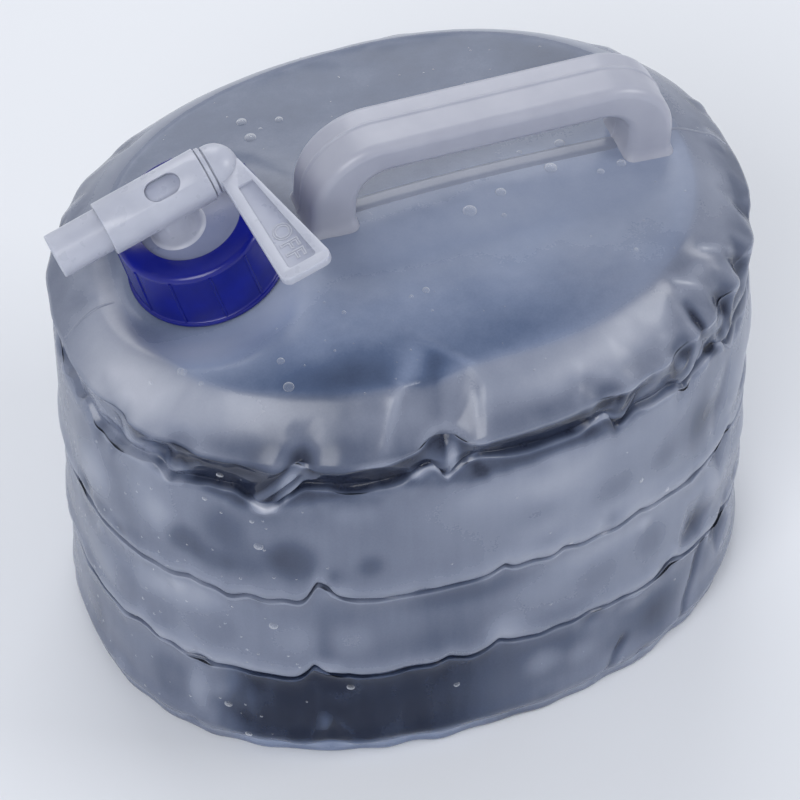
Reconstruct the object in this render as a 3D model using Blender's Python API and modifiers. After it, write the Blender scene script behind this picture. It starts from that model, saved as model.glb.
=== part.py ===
"""Collapsible water carrier: a folding oval film body, a carrying handle, and a screwed-on rotary tap.

Lengths are metres and +Z is up. The origin is the middle of the base, on the surface that the carrier
stands on. +X runs along the body, and the tap is near the -X end. Angles are degrees until they are used.
"""
import math

import bmesh
import bpy
from mathutils import Matrix, Vector

MM = 0.001

# Clearances
GAP = 0.3 * MM
SEAL_GAP = 0.15 * MM
OVERRUN = 2.0 * MM
EMBED = 0.4 * MM
MERGE = 0.01 * MM

# Film body
HALF_LENGTH = 132.0 * MM
HALF_WIDTH = 102.7 * MM
OUTLINE_POWER = 2.24
FILM_WALL = 0.8 * MM
HEM = 1.5 * MM
BASE_EDGE_INSET = 3.0 * MM
BASE_EDGE_RISE = 5.0 * MM
BASE_FOOT_INSET = 5.2 * MM
BASE_RING_SHARES = (0.4, 0.65)
WAIST_INSET = 5.0 * MM
WAIST_3_Z = 45.0 * MM
WAIST_2_Z = 93.0 * MM
WAIST_1_Z = 150.0 * MM
LIP_Z = 168.5 * MM
TIER_4_INSET = 1.8 * MM
TIER_3_INSET = 1.4 * MM
TIER_2_INSET = 0.8 * MM
TIER_POWER = 2.6
TIER_RING_SHARES = (0.0, 0.18, 0.5, 0.82, 1.0)
PANEL_RISE = 17.5 * MM
CROWN_RISE = 9.5 * MM
PANEL_EDGE_SHARE = 0.84
SHOULDER_POWER = 1.7
SHOULDER_RING_SHARES = (0.985, 0.955, 0.91, 0.87, PANEL_EDGE_SHARE)
PANEL_RING_POWER = 1.5

# Neck and its thread
NECK_END_DISTANCE = 57.5 * MM
NECK_X = NECK_END_DISTANCE - HALF_LENGTH
NECK_SEAT_Z = 189.7 * MM
NECK_LEAN = 15.0
NECK_SIDE_LEAN = 3.2
NECK_OUTER_RADIUS = 24.6 * MM
NECK_BORE_RADIUS = 22.4 * MM
NECK_ROOT_DEPTH = 3.0 * MM
BOSS_DROP = 0.8 * MM
BOSS_FLAT_RADIUS = 32.0 * MM
BOSS_BLEND_RADIUS = 54.0 * MM
THREAD_PITCH = 4.0 * MM
THREAD_TURNS = 1.5
THREAD_DEPTH = 1.3 * MM
THREAD_ROOT_WIDTH = 1.8 * MM
THREAD_CREST_WIDTH = 1.0 * MM
THREAD_FLOOR = 7.0 * MM
THREAD_CLEARANCE = 0.4 * MM
THREAD_RUN_OUT_STEPS = 3

# Screw ring that clamps the tap
CAP_HEIGHT = 27.4 * MM
CAP_RIM_RADIUS = 30.2 * MM
CAP_RIM_HEIGHT = 1.8 * MM
CAP_FOOT_RADIUS = 29.0 * MM
CAP_TOP_RADIUS = 28.4 * MM
CAP_EDGE_ROUNDING = 2.4 * MM
CAP_HOLE_RADIUS = 19.1 * MM
CAP_TOP_THICKNESS = 2.2 * MM
CAP_RIB_COUNT = 12
CAP_RIB_PHASE = -35.0
CAP_RIB_WIDTH = 1.3 * MM
CAP_RIB_PROUD = 0.45 * MM
CAP_RIB_CREST_SHARE = 0.5

# Seal under the tap's flange
GASKET_THICKNESS = 1.8 * MM
GASKET_BORE_RADIUS = 20.5 * MM

# Tap body
FLANGE_THICKNESS = 2.0 * MM
FLANGE_RIM_INSET = 0.4 * MM
TAP_AXIS_RISE = 16.3 * MM
TAP_SWING = 5.4
TAP_NECK_RADIUS = 9.3 * MM
TAP_NECK_SHIFT = 5.0 * MM
PORT_RADIUS = 5.5 * MM
BARREL_RADIUS = 10.15 * MM
BARREL_FRONT = 29.2 * MM
BARREL_BACK = 11.6 * MM
BARREL_EDGE = 0.6 * MM
WINDOW_LENGTH = 14.0 * MM
WINDOW_WIDTH = 6.3 * MM
WINDOW_SHIFT = 4.3 * MM
WINDOW_LEAN = 20.0

# Turning spindle with its nozzle and lever
SPINDLE_RADIUS = 8.3 * MM
SPINDLE_BORE_RADIUS = 6.4 * MM
NOZZLE_REACH = 49.2 * MM
NOZZLE_EDGE = 0.5 * MM
SPINDLE_FLOOR = 9.0 * MM
COLLAR_RADIUS = 9.5 * MM
COLLAR_THICKNESS = 1.7 * MM
COLLAR_GROOVE = 0.6 * MM
HUB_RADIUS = 9.0 * MM
HUB_STRAIGHT = 1.2 * MM
SEAL_GROOVE_DEPTH = 1.15 * MM
SEAL_SECTION_RADIUS = 0.6 * MM
SEAL_FRONT_SHIFT = 24.0 * MM
SEAL_BACK_SHIFT = 7.5 * MM
LEVER_REACH = 61.0 * MM
LEVER_THICKNESS = 4.0 * MM
LEVER_TIP_WIDTH = 20.2 * MM
LEVER_ROOT_WIDTH = 9.6 * MM
LEVER_ROOT_DEPTH = 2.2 * MM
LEVER_CORNER_RADIUS = 3.4 * MM
LEVER_EDGE = 0.7 * MM
POCKET_DEPTH = 1.1 * MM
POCKET_BORDER = 4.2 * MM
POCKET_START = 14.0 * MM
POCKET_CORNER_RADIUS = 1.2 * MM

# Carrying handle
HANDLE_CAP_CLEARANCE = 5.8 * MM
HANDLE_END_DISTANCE = 29.5 * MM
HANDLE_START_X = NECK_X + CAP_RIM_RADIUS + HANDLE_CAP_CLEARANCE
HANDLE_END_X = HALF_LENGTH - HANDLE_END_DISTANCE
HANDLE_WIDTH = 24.0 * MM
HANDLE_HEIGHT = 37.5 * MM
HANDLE_FOOT_THICKNESS = 17.5 * MM
HANDLE_BAR_THICKNESS = 13.2 * MM
HANDLE_OUTER_RADIUS = 27.0 * MM
HANDLE_INNER_RADIUS = 12.0 * MM
HANDLE_CORNER_RADIUS = 3.4 * MM
HANDLE_LINE_PROUD = 0.4 * MM
HANDLE_LINE_WIDTH = 1.0 * MM
HANDLE_FOOT_RUN = 16.0 * MM

# Facets
OUTLINE_POINTS = 56
TURN_STEPS = 40
THREAD_STEPS = 24
CORNER_STEPS = 4
SEAL_STEPS = 6
PANEL_STEPS = 9
HANDLE_ARC_STEPS = 8
HANDLE_CORNER_STEPS = 3

# Places of the neck and of the tap on it: Z runs out of the neck, and the tap's X runs to its nozzle
NECK_FRAME = (
    Matrix.Translation((NECK_X, 0.0, NECK_SEAT_Z))
    @ Matrix.Rotation(math.radians(NECK_SIDE_LEAN), 4, "X")
    @ Matrix.Rotation(math.radians(-NECK_LEAN), 4, "Y")
    @ Matrix.Rotation(math.pi, 4, "Z")
)
TAP_FRAME = Matrix.Translation((0.0, 0.0, CAP_HEIGHT + TAP_AXIS_RISE)) @ Matrix.Rotation(
    math.radians(TAP_SWING), 4, "Z"
)
ALONG_BARREL = Matrix.Rotation(math.pi / 2, 4, "Y")


def clear_scene():
    """Removes whatever the new file holds."""
    for item in list(bpy.data.objects):
        bpy.data.objects.remove(item, do_unlink=True)


def new_collection(name):
    """A collection linked to the scene."""
    group = bpy.data.collections.new(name)
    bpy.context.scene.collection.children.link(group)
    return group


clear_scene()
PARTS = new_collection("collapsible_water_carrier")
CUTTERS = new_collection("cutters")


def material(name, colour, roughness, alpha=1.0):
    """A plastic or rubber finish."""
    finish = bpy.data.materials.new(name)
    finish.use_nodes = True
    shader = finish.node_tree.nodes["Principled BSDF"]
    shader.inputs["Base Color"].default_value = (*colour, 1.0)
    shader.inputs["Roughness"].default_value = roughness
    shader.inputs["Metallic"].default_value = 0.0
    shader.inputs["Alpha"].default_value = alpha
    return finish


FILM = material("polyethylene_film", (0.42, 0.46, 0.54), 0.25, 0.6)
HANDLE_PLASTIC = material("handle_polyethylene", (0.62, 0.64, 0.72), 0.35)
CAP_PLASTIC = material("blue_polypropylene", (0.02, 0.03, 0.30), 0.2)
TAP_PLASTIC = material("white_polypropylene", (0.72, 0.76, 0.84), 0.3)
SEAL_RUBBER = material("seal_silicone", (0.55, 0.57, 0.60), 0.5)
RING_RUBBER = material("ring_rubber", (0.05, 0.05, 0.05), 0.6)


def add_object(name, mesh, finish=None, parent=None, place=None, cutter=False):
    """An object from a mesh, in the parts or among the cutters, under a parent at a local place."""
    item = bpy.data.objects.new(name, mesh)
    (CUTTERS if cutter else PARTS).objects.link(item)
    if finish:
        mesh.materials.clear()
        mesh.materials.append(finish)
    if parent:
        item.parent = parent
    if place:
        item.matrix_local = place
    if cutter:
        item.hide_render = True
        item.display_type = "WIRE"
    return item


def add_axis(name, place, parent=None):
    """An empty that marks a joint's axis with its own Z or X."""
    empty = bpy.data.objects.new(name, None)
    PARTS.objects.link(empty)
    if parent:
        empty.parent = parent
    empty.matrix_local = place
    return empty


def boolean(item, operation, other):
    """A live Boolean with another object."""
    step = item.modifiers.new(f"{operation.lower()} {other.name}", "BOOLEAN")
    step.operation = operation
    step.solver = "EXACT"
    step.object = other


def turned(name, profile, steps=TURN_STEPS, closed=True, **where):
    """A turned shape: points (radius, height) that run down the outer side, spun about local Z."""
    mesh = bpy.data.meshes.new(name)
    points = [(radius, 0.0, height) for radius, height in profile]
    edges = [(i, i + 1) for i in range(len(points) - 1)]
    if closed:
        edges.append((len(points) - 1, 0))
    mesh.from_pydata(points, edges, [])
    item = add_object(name, mesh, **where)
    spin = item.modifiers.new("turn", "SCREW")
    spin.axis = "Z"
    spin.angle = math.tau
    spin.steps = steps
    spin.render_steps = steps
    spin.use_merge_vertices = True
    spin.merge_threshold = MERGE
    spin.use_smooth_shade = True
    return item


def loft(name, rings, centre=None, close_ends=False, shade_smooth=True, **where):
    """A surface through rings of equal count, which run so that its faces point outwards."""
    shape = bmesh.new()
    rows = [[shape.verts.new(point) for point in ring] for ring in rings]
    count = len(rows[0])
    for lower, upper in zip(rows, rows[1:]):
        for i in range(count):
            j = (i + 1) % count
            shape.faces.new((lower[i], lower[j], upper[j], upper[i]))
    if centre is not None:
        tip = shape.verts.new(centre)
        for i in range(count):
            shape.faces.new((rows[0][(i + 1) % count], rows[0][i], tip))
    if close_ends:
        shape.faces.new(list(reversed(rows[0])))
        shape.faces.new(rows[-1])
    for face in shape.faces:
        face.smooth = shade_smooth
    mesh = bpy.data.meshes.new(name)
    shape.to_mesh(mesh)
    shape.free()
    return add_object(name, mesh, **where)


def walled(item):
    """Gives an open film surface its wall, inwards."""
    wall = item.modifiers.new("wall", "SOLIDIFY")
    wall.thickness = FILM_WALL
    wall.offset = -1.0
    wall.use_even_offset = True
    return item


def flat_prism(name, corners, half_thickness, **where):
    """A closed outline in local XY, extruded both ways along local Z."""
    data = bpy.data.curves.new(name, "CURVE")
    data.dimensions = "2D"
    data.fill_mode = "BOTH"
    data.extrude = half_thickness
    spline = data.splines.new("POLY")
    spline.points.add(len(corners) - 1)
    for point, (x, y) in zip(spline.points, corners):
        point.co = (x, y, 0.0, 1.0)
    spline.use_cyclic_u = True
    draft = bpy.data.objects.new(name + "_outline", data)
    CUTTERS.objects.link(draft)
    bpy.context.view_layer.update()
    evaluated = draft.evaluated_get(bpy.context.evaluated_depsgraph_get())
    mesh = bpy.data.meshes.new_from_object(evaluated)
    bpy.data.objects.remove(draft, do_unlink=True)
    shape = bmesh.new()
    shape.from_mesh(mesh)
    bmesh.ops.remove_doubles(shape, verts=shape.verts, dist=MERGE)
    bmesh.ops.recalc_face_normals(shape, faces=shape.faces)
    shape.to_mesh(mesh)
    shape.free()
    return add_object(name, mesh, **where)


def rod(name, radius, length, steps=TURN_STEPS, **where):
    """A solid cylinder along local Z, centred on its origin."""
    shape = bmesh.new()
    bmesh.ops.create_cone(
        shape, cap_ends=True, segments=steps, radius1=radius, radius2=radius, depth=length
    )
    mesh = bpy.data.meshes.new(name)
    shape.to_mesh(mesh)
    shape.free()
    return add_object(name, mesh, **where)


def outline(inset):
    """The body's oval outline, drawn in by an inset, anticlockwise from +X."""
    points = []
    for i in range(OUTLINE_POINTS):
        turn = math.tau * i / OUTLINE_POINTS
        along = math.copysign(abs(math.cos(turn)) ** (2 / OUTLINE_POWER), math.cos(turn))
        across = math.copysign(abs(math.sin(turn)) ** (2 / OUTLINE_POWER), math.sin(turn))
        points.append(((HALF_LENGTH - inset) * along, (HALF_WIDTH - inset) * across))
    return points


def level_ring(inset, height):
    """The outline at one height."""
    return [Vector((x, y, height)) for x, y in outline(inset)]


def outline_share(x, y):
    """How far a point lies from the middle, as a share of the way to the outline."""
    total = abs(x / HALF_LENGTH) ** OUTLINE_POWER + abs(y / HALF_WIDTH) ** OUTLINE_POWER
    return total ** (1 / OUTLINE_POWER)


def neck_plane_height(x, y):
    """The height of the leaning plane that the neck's boss is pressed to."""
    normal = NECK_FRAME.col[2]
    seat = NECK_FRAME @ Vector((0.0, 0.0, -BOSS_DROP))
    return seat.z - ((x - seat.x) * normal.x + (y - seat.y) * normal.y) / normal.z


def top_height(x, y):
    """The height of the top panel's outer face: crown, sloping shoulder and the neck's leaning boss."""
    share = outline_share(x, y)
    if share <= PANEL_EDGE_SHARE:
        rise = PANEL_RISE + CROWN_RISE * (1 - (share / PANEL_EDGE_SHARE) ** 2)
    else:
        run = min((share - PANEL_EDGE_SHARE) / (1 - PANEL_EDGE_SHARE), 1)
        rise = PANEL_RISE * (1 - run ** SHOULDER_POWER)
    crown = LIP_Z + HEM + rise
    away = math.hypot((x - NECK_X) / math.cos(math.radians(NECK_LEAN)), y)
    blend = (away - BOSS_FLAT_RADIUS) / (BOSS_BLEND_RADIUS - BOSS_FLAT_RADIUS)
    blend = min(max(blend, 0), 1)
    blend = blend * blend * (3 - 2 * blend)
    return neck_plane_height(x, y) * (1 - blend) + crown * blend


def base_panel():
    """The flat bottom with its tight edge, which stands on the floor."""
    rings = [level_ring(HALF_WIDTH * (1 - share), 0.0) for share in BASE_RING_SHARES]
    rings.append(level_ring(BASE_FOOT_INSET, 0.0))
    for step in range(1, CORNER_STEPS + 1):
        turn = math.pi / 2 * step / CORNER_STEPS
        inset = BASE_FOOT_INSET - (BASE_FOOT_INSET - BASE_EDGE_INSET) * math.sin(turn)
        rings.append(level_ring(inset, (BASE_EDGE_RISE - HEM) * (1 - math.cos(turn))))
    rings.append(level_ring(BASE_EDGE_INSET, BASE_EDGE_RISE))
    walled(loft("base_panel", rings, centre=(0.0, 0.0, 0.0), finish=FILM))


def tier(name, floor, ceiling, floor_inset, ceiling_inset, belly_inset):
    """One bellows tier: a bulging band between two drawn-in folds, with upright hems."""
    low = floor + GAP / 2
    high = ceiling - GAP / 2
    rings = [level_ring(floor_inset, low)]
    for share in TIER_RING_SHARES:
        height = low + HEM + (high - low - 2 * HEM) * share
        edge = floor_inset + (ceiling_inset - floor_inset) * share
        inset = belly_inset + (edge - belly_inset) * abs(2 * share - 1) ** TIER_POWER
        rings.append(level_ring(inset, height))
    rings.append(level_ring(ceiling_inset, high))
    walled(loft(name, rings, finish=FILM))


def bellows():
    """The four folding tiers, from the base up; the top one is the short skirt under the lip."""
    tier("tier_4", BASE_EDGE_RISE + GAP / 2, WAIST_3_Z, BASE_EDGE_INSET, WAIST_INSET, TIER_4_INSET)
    tier("tier_3", WAIST_3_Z, WAIST_2_Z, WAIST_INSET, WAIST_INSET, TIER_3_INSET)
    tier("tier_2", WAIST_2_Z, WAIST_1_Z, WAIST_INSET, WAIST_INSET, TIER_2_INSET)
    low = WAIST_1_Z + GAP / 2
    high = LIP_Z - GAP / 2
    rings = [level_ring(WAIST_INSET, low), level_ring(WAIST_INSET, low + HEM)]
    rings += [level_ring(WAIST_INSET / 2, (low + high) / 2)]
    rings += [level_ring(0.0, high - HEM), level_ring(0.0, high)]
    walled(loft("tier_1", rings, finish=FILM))


def thread(name, radius, depth, shift, **where):
    """A helical ridge on local Z from a radius out by a depth, or inwards if that is negative."""
    rings = []
    total = int(THREAD_STEPS * THREAD_TURNS)
    sink = math.copysign(EMBED, depth)
    for step in range(total + 1):
        turn = math.tau * step / THREAD_STEPS
        share = min(1, (min(step, total - step) + 1) / THREAD_RUN_OUT_STEPS)
        height = THREAD_FLOOR + shift + THREAD_PITCH * step / THREAD_STEPS
        half_root = THREAD_ROOT_WIDTH / 2
        half_crest = THREAD_CREST_WIDTH / 2
        crest = radius + depth * share
        section = [
            (radius - sink, height - half_root),
            (crest, height - half_crest),
            (crest, height + half_crest),
            (radius - sink, height + half_root),
        ]
        if depth < 0:
            section.reverse()
        rings.append([Vector((r * math.cos(turn), r * math.sin(turn), z)) for r, z in section])
    return loft(name, rings, close_ends=True, shade_smooth=False, **where)


def panel_rings():
    """The top panel's outer face as rings, from the lip's rim in to the neck's hole."""
    rings = [level_ring(0.0, LIP_Z + HEM)]
    for share in SHOULDER_RING_SHARES:
        rings.append([Vector((x * share, y * share, 0.0)) for x, y in outline(0.0)])
    oval = rings[-1]
    across = (NECK_OUTER_RADIUS + NECK_BORE_RADIUS) / 2
    along = across * math.cos(math.radians(NECK_LEAN))
    circle = []
    for i in range(OUTLINE_POINTS):
        turn = math.tau * i / OUTLINE_POINTS
        circle.append(Vector((NECK_X + along * math.cos(turn), across * math.sin(turn), 0.0)))
    for step in range(1, PANEL_STEPS + 1):
        share = 1 - (1 - step / PANEL_STEPS) ** PANEL_RING_POWER
        rings.append([a.lerp(b, share) for a, b in zip(oval, circle)])
    for ring in rings[1:]:
        for point in ring:
            point.z = top_height(point.x, point.y)
    return rings


def top_panel(neck_axis):
    """The crowned top, its sloping shoulder and lip, and the threaded neck that grows out of it."""
    rings = [level_ring(0.0, LIP_Z + GAP / 2)] + panel_rings()
    panel = walled(loft("top_panel", rings, finish=FILM))
    top = CAP_HEIGHT - CAP_TOP_THICKNESS - FLANGE_THICKNESS - GASKET_THICKNESS - 3 * GAP
    tube = turned(
        "neck_tube",
        [
            (NECK_BORE_RADIUS, top),
            (NECK_OUTER_RADIUS, top),
            (NECK_OUTER_RADIUS, -NECK_ROOT_DEPTH),
            (NECK_BORE_RADIUS, -NECK_ROOT_DEPTH),
        ],
        parent=neck_axis,
        cutter=True,
    )
    ridge = thread("neck_thread", NECK_OUTER_RADIUS, THREAD_DEPTH, 0.0, parent=neck_axis, cutter=True)
    boolean(tube, "UNION", ridge)
    boolean(panel, "UNION", tube)


def cap_ring(neck_axis):
    """The screw ring: a skirt with grip ribs, a lower rim, an inner thread and a top with a round hole."""
    inner = NECK_OUTER_RADIUS + THREAD_DEPTH + THREAD_CLEARANCE
    profile = [(CAP_HOLE_RADIUS, CAP_HEIGHT)]
    for step in range(CORNER_STEPS + 1):
        turn = math.pi / 2 * step / CORNER_STEPS
        reach = CAP_TOP_RADIUS - CAP_EDGE_ROUNDING * (1 - math.sin(turn))
        profile.append((reach, CAP_HEIGHT - CAP_EDGE_ROUNDING * (1 - math.cos(turn))))
    profile += [
        (CAP_FOOT_RADIUS, CAP_RIM_HEIGHT),
        (CAP_RIM_RADIUS, CAP_RIM_HEIGHT),
        (CAP_RIM_RADIUS, 0.0),
        (inner, 0.0),
        (inner, CAP_HEIGHT - CAP_TOP_THICKNESS),
        (CAP_HOLE_RADIUS, CAP_HEIGHT - CAP_TOP_THICKNESS),
    ]
    ring = turned("cap_ring", profile, finish=CAP_PLASTIC, parent=neck_axis)
    ridge = thread(
        "cap_thread", inner, -THREAD_DEPTH, -THREAD_PITCH / 2, parent=neck_axis, cutter=True
    )
    boolean(ring, "UNION", ridge)
    low = CAP_RIM_HEIGHT - EMBED
    high = CAP_HEIGHT - CAP_EDGE_ROUNDING
    for i in range(CAP_RIB_COUNT):
        turn = Matrix.Rotation(math.radians(CAP_RIB_PHASE) + math.tau * i / CAP_RIB_COUNT, 4, "Z")
        section = []
        for height, radius in ((low, CAP_FOOT_RADIUS), (high, CAP_TOP_RADIUS)):
            near = radius - 2 * EMBED
            far = radius + CAP_RIB_PROUD
            half = CAP_RIB_WIDTH / 2
            crest = half * CAP_RIB_CREST_SHARE
            corners = ((near, -half), (far, -crest), (far, crest), (near, half))
            section.append([turn @ Vector((x, y, height)) for x, y in corners])
        rib = loft(
            f"cap_rib_{i}", section, close_ends=True, shade_smooth=False, parent=neck_axis, cutter=True
        )
        boolean(ring, "UNION", rib)


def neck_gasket(neck_axis):
    """The flat ring seal between the neck's rim and the tap's flange."""
    top = CAP_HEIGHT - CAP_TOP_THICKNESS - FLANGE_THICKNESS - 2 * GAP
    outer = NECK_OUTER_RADIUS - FLANGE_RIM_INSET
    turned(
        "neck_gasket",
        [
            (GASKET_BORE_RADIUS, top),
            (outer, top),
            (outer, top - GASKET_THICKNESS),
            (GASKET_BORE_RADIUS, top - GASKET_THICKNESS),
        ],
        finish=SEAL_RUBBER,
        parent=neck_axis,
    )


def barrel_profile(radius, back, front, edge):
    """A solid cylinder's profile with softened ends, from its front end down its side to its back end."""
    return [
        (0.0, front),
        (radius - edge, front),
        (radius, front - edge),
        (radius, -back + edge),
        (radius - edge, -back),
        (0.0, -back),
    ]


def tap_body(tap_axis):
    """The flange, its short neck and the cross barrel, bored for the spindle, the port and the window."""
    body = turned(
        "tap_body",
        barrel_profile(BARREL_RADIUS, BARREL_BACK, BARREL_FRONT, BARREL_EDGE),
        closed=False,
        finish=TAP_PLASTIC,
        parent=tap_axis,
        place=ALONG_BARREL,
    )
    flange_top = -TAP_AXIS_RISE - CAP_TOP_THICKNESS - GAP
    flange = rod(
        "tap_flange",
        NECK_OUTER_RADIUS - FLANGE_RIM_INSET,
        FLANGE_THICKNESS,
        parent=tap_axis,
        place=Matrix.Translation((0.0, 0.0, flange_top - FLANGE_THICKNESS / 2)),
        cutter=True,
    )
    neck_low = flange_top - FLANGE_THICKNESS / 2
    neck_high = -SPINDLE_RADIUS / 2
    neck = rod(
        "tap_neck",
        TAP_NECK_RADIUS,
        neck_high - neck_low,
        parent=tap_axis,
        place=Matrix.Translation((TAP_NECK_SHIFT, 0.0, (neck_low + neck_high) / 2)),
        cutter=True,
    )
    bore = rod(
        "barrel_bore",
        SPINDLE_RADIUS + GAP,
        BARREL_FRONT + BARREL_BACK + 2 * OVERRUN,
        parent=tap_axis,
        place=Matrix.Translation(((BARREL_FRONT - BARREL_BACK) / 2, 0.0, 0.0)) @ ALONG_BARREL,
        cutter=True,
    )
    port_low = flange_top - FLANGE_THICKNESS - OVERRUN
    port = rod(
        "tap_port",
        PORT_RADIUS,
        neck_high - port_low,
        steps=TURN_STEPS // 2,
        parent=tap_axis,
        place=Matrix.Translation((TAP_NECK_SHIFT, 0.0, (neck_high + port_low) / 2)),
        cutter=True,
    )
    depth = BARREL_RADIUS + OVERRUN
    window = flat_prism(
        "tap_window",
        stadium(WINDOW_LENGTH, WINDOW_WIDTH),
        depth / 2,
        parent=tap_axis,
        place=Matrix.Rotation(math.radians(-WINDOW_LEAN), 4, "X")
        @ Matrix.Translation((WINDOW_SHIFT, 0.0, depth / 2)),
        cutter=True,
    )
    boolean(body, "UNION", flange)
    boolean(body, "UNION", neck)
    boolean(body, "DIFFERENCE", bore)
    boolean(body, "DIFFERENCE", port)
    boolean(body, "DIFFERENCE", window)


def stadium(length, width):
    """A slot's outline: two half rounds joined by straight sides, anticlockwise."""
    points = []
    for side in (1, -1):
        for step in range(2 * CORNER_STEPS + 1):
            turn = math.pi * step / (2 * CORNER_STEPS) - side * math.pi / 2
            middle = side * (length - width) / 2
            points.append((middle + width / 2 * math.cos(turn), width / 2 * math.sin(turn)))
    return points


def rounded(corners, radius):
    """A closed outline with each corner replaced by an arc of one radius."""
    points = []
    count = len(corners)
    for i, corner in enumerate(corners):
        corner = Vector(corner)
        before = (Vector(corners[i - 1]) - corner).normalized()
        after = (Vector(corners[(i + 1) % count]) - corner).normalized()
        half = before.angle(after) / 2
        reach = radius / math.tan(half)
        middle = corner + (before + after).normalized() * radius / math.sin(half)
        start = corner + before * reach - middle
        end = corner + after * reach - middle
        for step in range(CORNER_STEPS + 1):
            arm = start.lerp(end, step / CORNER_STEPS).normalized() * radius
            points.append(tuple(middle + arm))
    return points


def lever_edge(reach):
    """The lever's far edge, along the barrel, at a distance from the barrel's axis."""
    share = reach / LEVER_REACH
    return LEVER_ROOT_WIDTH + (LEVER_TIP_WIDTH - LEVER_ROOT_WIDTH) * share


def tap_spindle(tap_axis):
    """The turning part in one piece: nozzle tube, side port, seal grooves, collar, domed hub and lever."""
    collar_top = -BARREL_BACK - GAP
    collar_low = collar_top - COLLAR_THICKNESS
    hub_top = collar_low - COLLAR_GROOVE
    dome = hub_top - HUB_STRAIGHT
    floor = SPINDLE_RADIUS - SEAL_GROOVE_DEPTH
    profile = [
        (0.0, -SPINDLE_FLOOR),
        (SPINDLE_BORE_RADIUS, -SPINDLE_FLOOR),
        (SPINDLE_BORE_RADIUS, NOZZLE_REACH),
        (SPINDLE_RADIUS - NOZZLE_EDGE, NOZZLE_REACH),
        (SPINDLE_RADIUS, NOZZLE_REACH - NOZZLE_EDGE),
    ]
    half = SEAL_SECTION_RADIUS + SEAL_GAP
    for middle in (SEAL_FRONT_SHIFT, -SEAL_BACK_SHIFT):
        profile += [
            (SPINDLE_RADIUS, middle + half),
            (floor, middle + half),
            (floor, middle - half),
            (SPINDLE_RADIUS, middle - half),
        ]
    profile += [
        (SPINDLE_RADIUS, collar_top),
        (COLLAR_RADIUS, collar_top),
        (COLLAR_RADIUS, collar_low),
        (SPINDLE_RADIUS, collar_low),
        (SPINDLE_RADIUS, hub_top),
        (HUB_RADIUS, hub_top),
    ]
    dome_steps = 2 * CORNER_STEPS
    for step in range(dome_steps):
        turn = math.pi / 2 * step / dome_steps
        profile.append((HUB_RADIUS * math.cos(turn), dome - HUB_RADIUS * math.sin(turn)))
    profile.append((0.0, dome - HUB_RADIUS))
    spindle = turned(
        "tap_spindle",
        profile,
        closed=False,
        finish=TAP_PLASTIC,
        parent=tap_axis,
        place=ALONG_BARREL,
    )
    near = hub_top - LEVER_EDGE
    corners = [
        (near, -LEVER_ROOT_DEPTH),
        (near - lever_edge(0.0), LEVER_ROOT_DEPTH),
        (near - lever_edge(LEVER_REACH), LEVER_REACH),
        (near, LEVER_REACH),
    ]
    outline_points = rounded(corners, LEVER_EDGE)[: 2 * (CORNER_STEPS + 1)]
    outline_points += rounded(corners, LEVER_CORNER_RADIUS)[2 * (CORNER_STEPS + 1):]
    blade = flat_prism("lever_blade", outline_points, LEVER_THICKNESS / 2, parent=tap_axis, cutter=True)
    soften = blade.modifiers.new("edge", "BEVEL")
    soften.width = LEVER_EDGE
    soften.segments = 2
    soften.limit_method = "ANGLE"
    pocket_end = LEVER_REACH - POCKET_BORDER
    pocket_corners = [
        (near - POCKET_BORDER, POCKET_START),
        (near - lever_edge(POCKET_START) + POCKET_BORDER / 2, POCKET_START),
        (near - lever_edge(pocket_end) + POCKET_BORDER, pocket_end),
        (near - POCKET_BORDER, pocket_end),
    ]
    pocket = flat_prism(
        "lever_pocket",
        rounded(pocket_corners, POCKET_CORNER_RADIUS),
        POCKET_DEPTH,
        parent=tap_axis,
        place=Matrix.Translation((0.0, 0.0, LEVER_THICKNESS / 2)),
        cutter=True,
    )
    side_port = rod(
        "spindle_port",
        PORT_RADIUS,
        SPINDLE_RADIUS + OVERRUN,
        steps=TURN_STEPS // 2,
        parent=tap_axis,
        place=Matrix.Translation((TAP_NECK_SHIFT, 0.0, 0.0))
        @ Matrix.Rotation(math.pi / 2, 4, "X")
        @ Matrix.Translation((0.0, 0.0, (SPINDLE_RADIUS + OVERRUN) / 2)),
        cutter=True,
    )
    boolean(blade, "DIFFERENCE", pocket)
    boolean(spindle, "UNION", blade)
    boolean(spindle, "DIFFERENCE", side_port)


def spindle_seals(tap_axis):
    """Two rubber rings in the spindle's grooves, either side of its port."""
    major = SPINDLE_RADIUS - SEAL_GROOVE_DEPTH + SEAL_GAP + SEAL_SECTION_RADIUS
    for name, shift in (("front_o_ring", SEAL_FRONT_SHIFT), ("back_o_ring", -SEAL_BACK_SHIFT)):
        section = []
        for step in range(SEAL_STEPS):
            turn = -math.tau * step / SEAL_STEPS
            height = shift + SEAL_SECTION_RADIUS * math.sin(turn)
            section.append((major + SEAL_SECTION_RADIUS * math.cos(turn), height))
        turned(
            name,
            section,
            steps=TURN_STEPS // 2,
            finish=RING_RUBBER,
            parent=tap_axis,
            place=ALONG_BARREL,
        )


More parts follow.
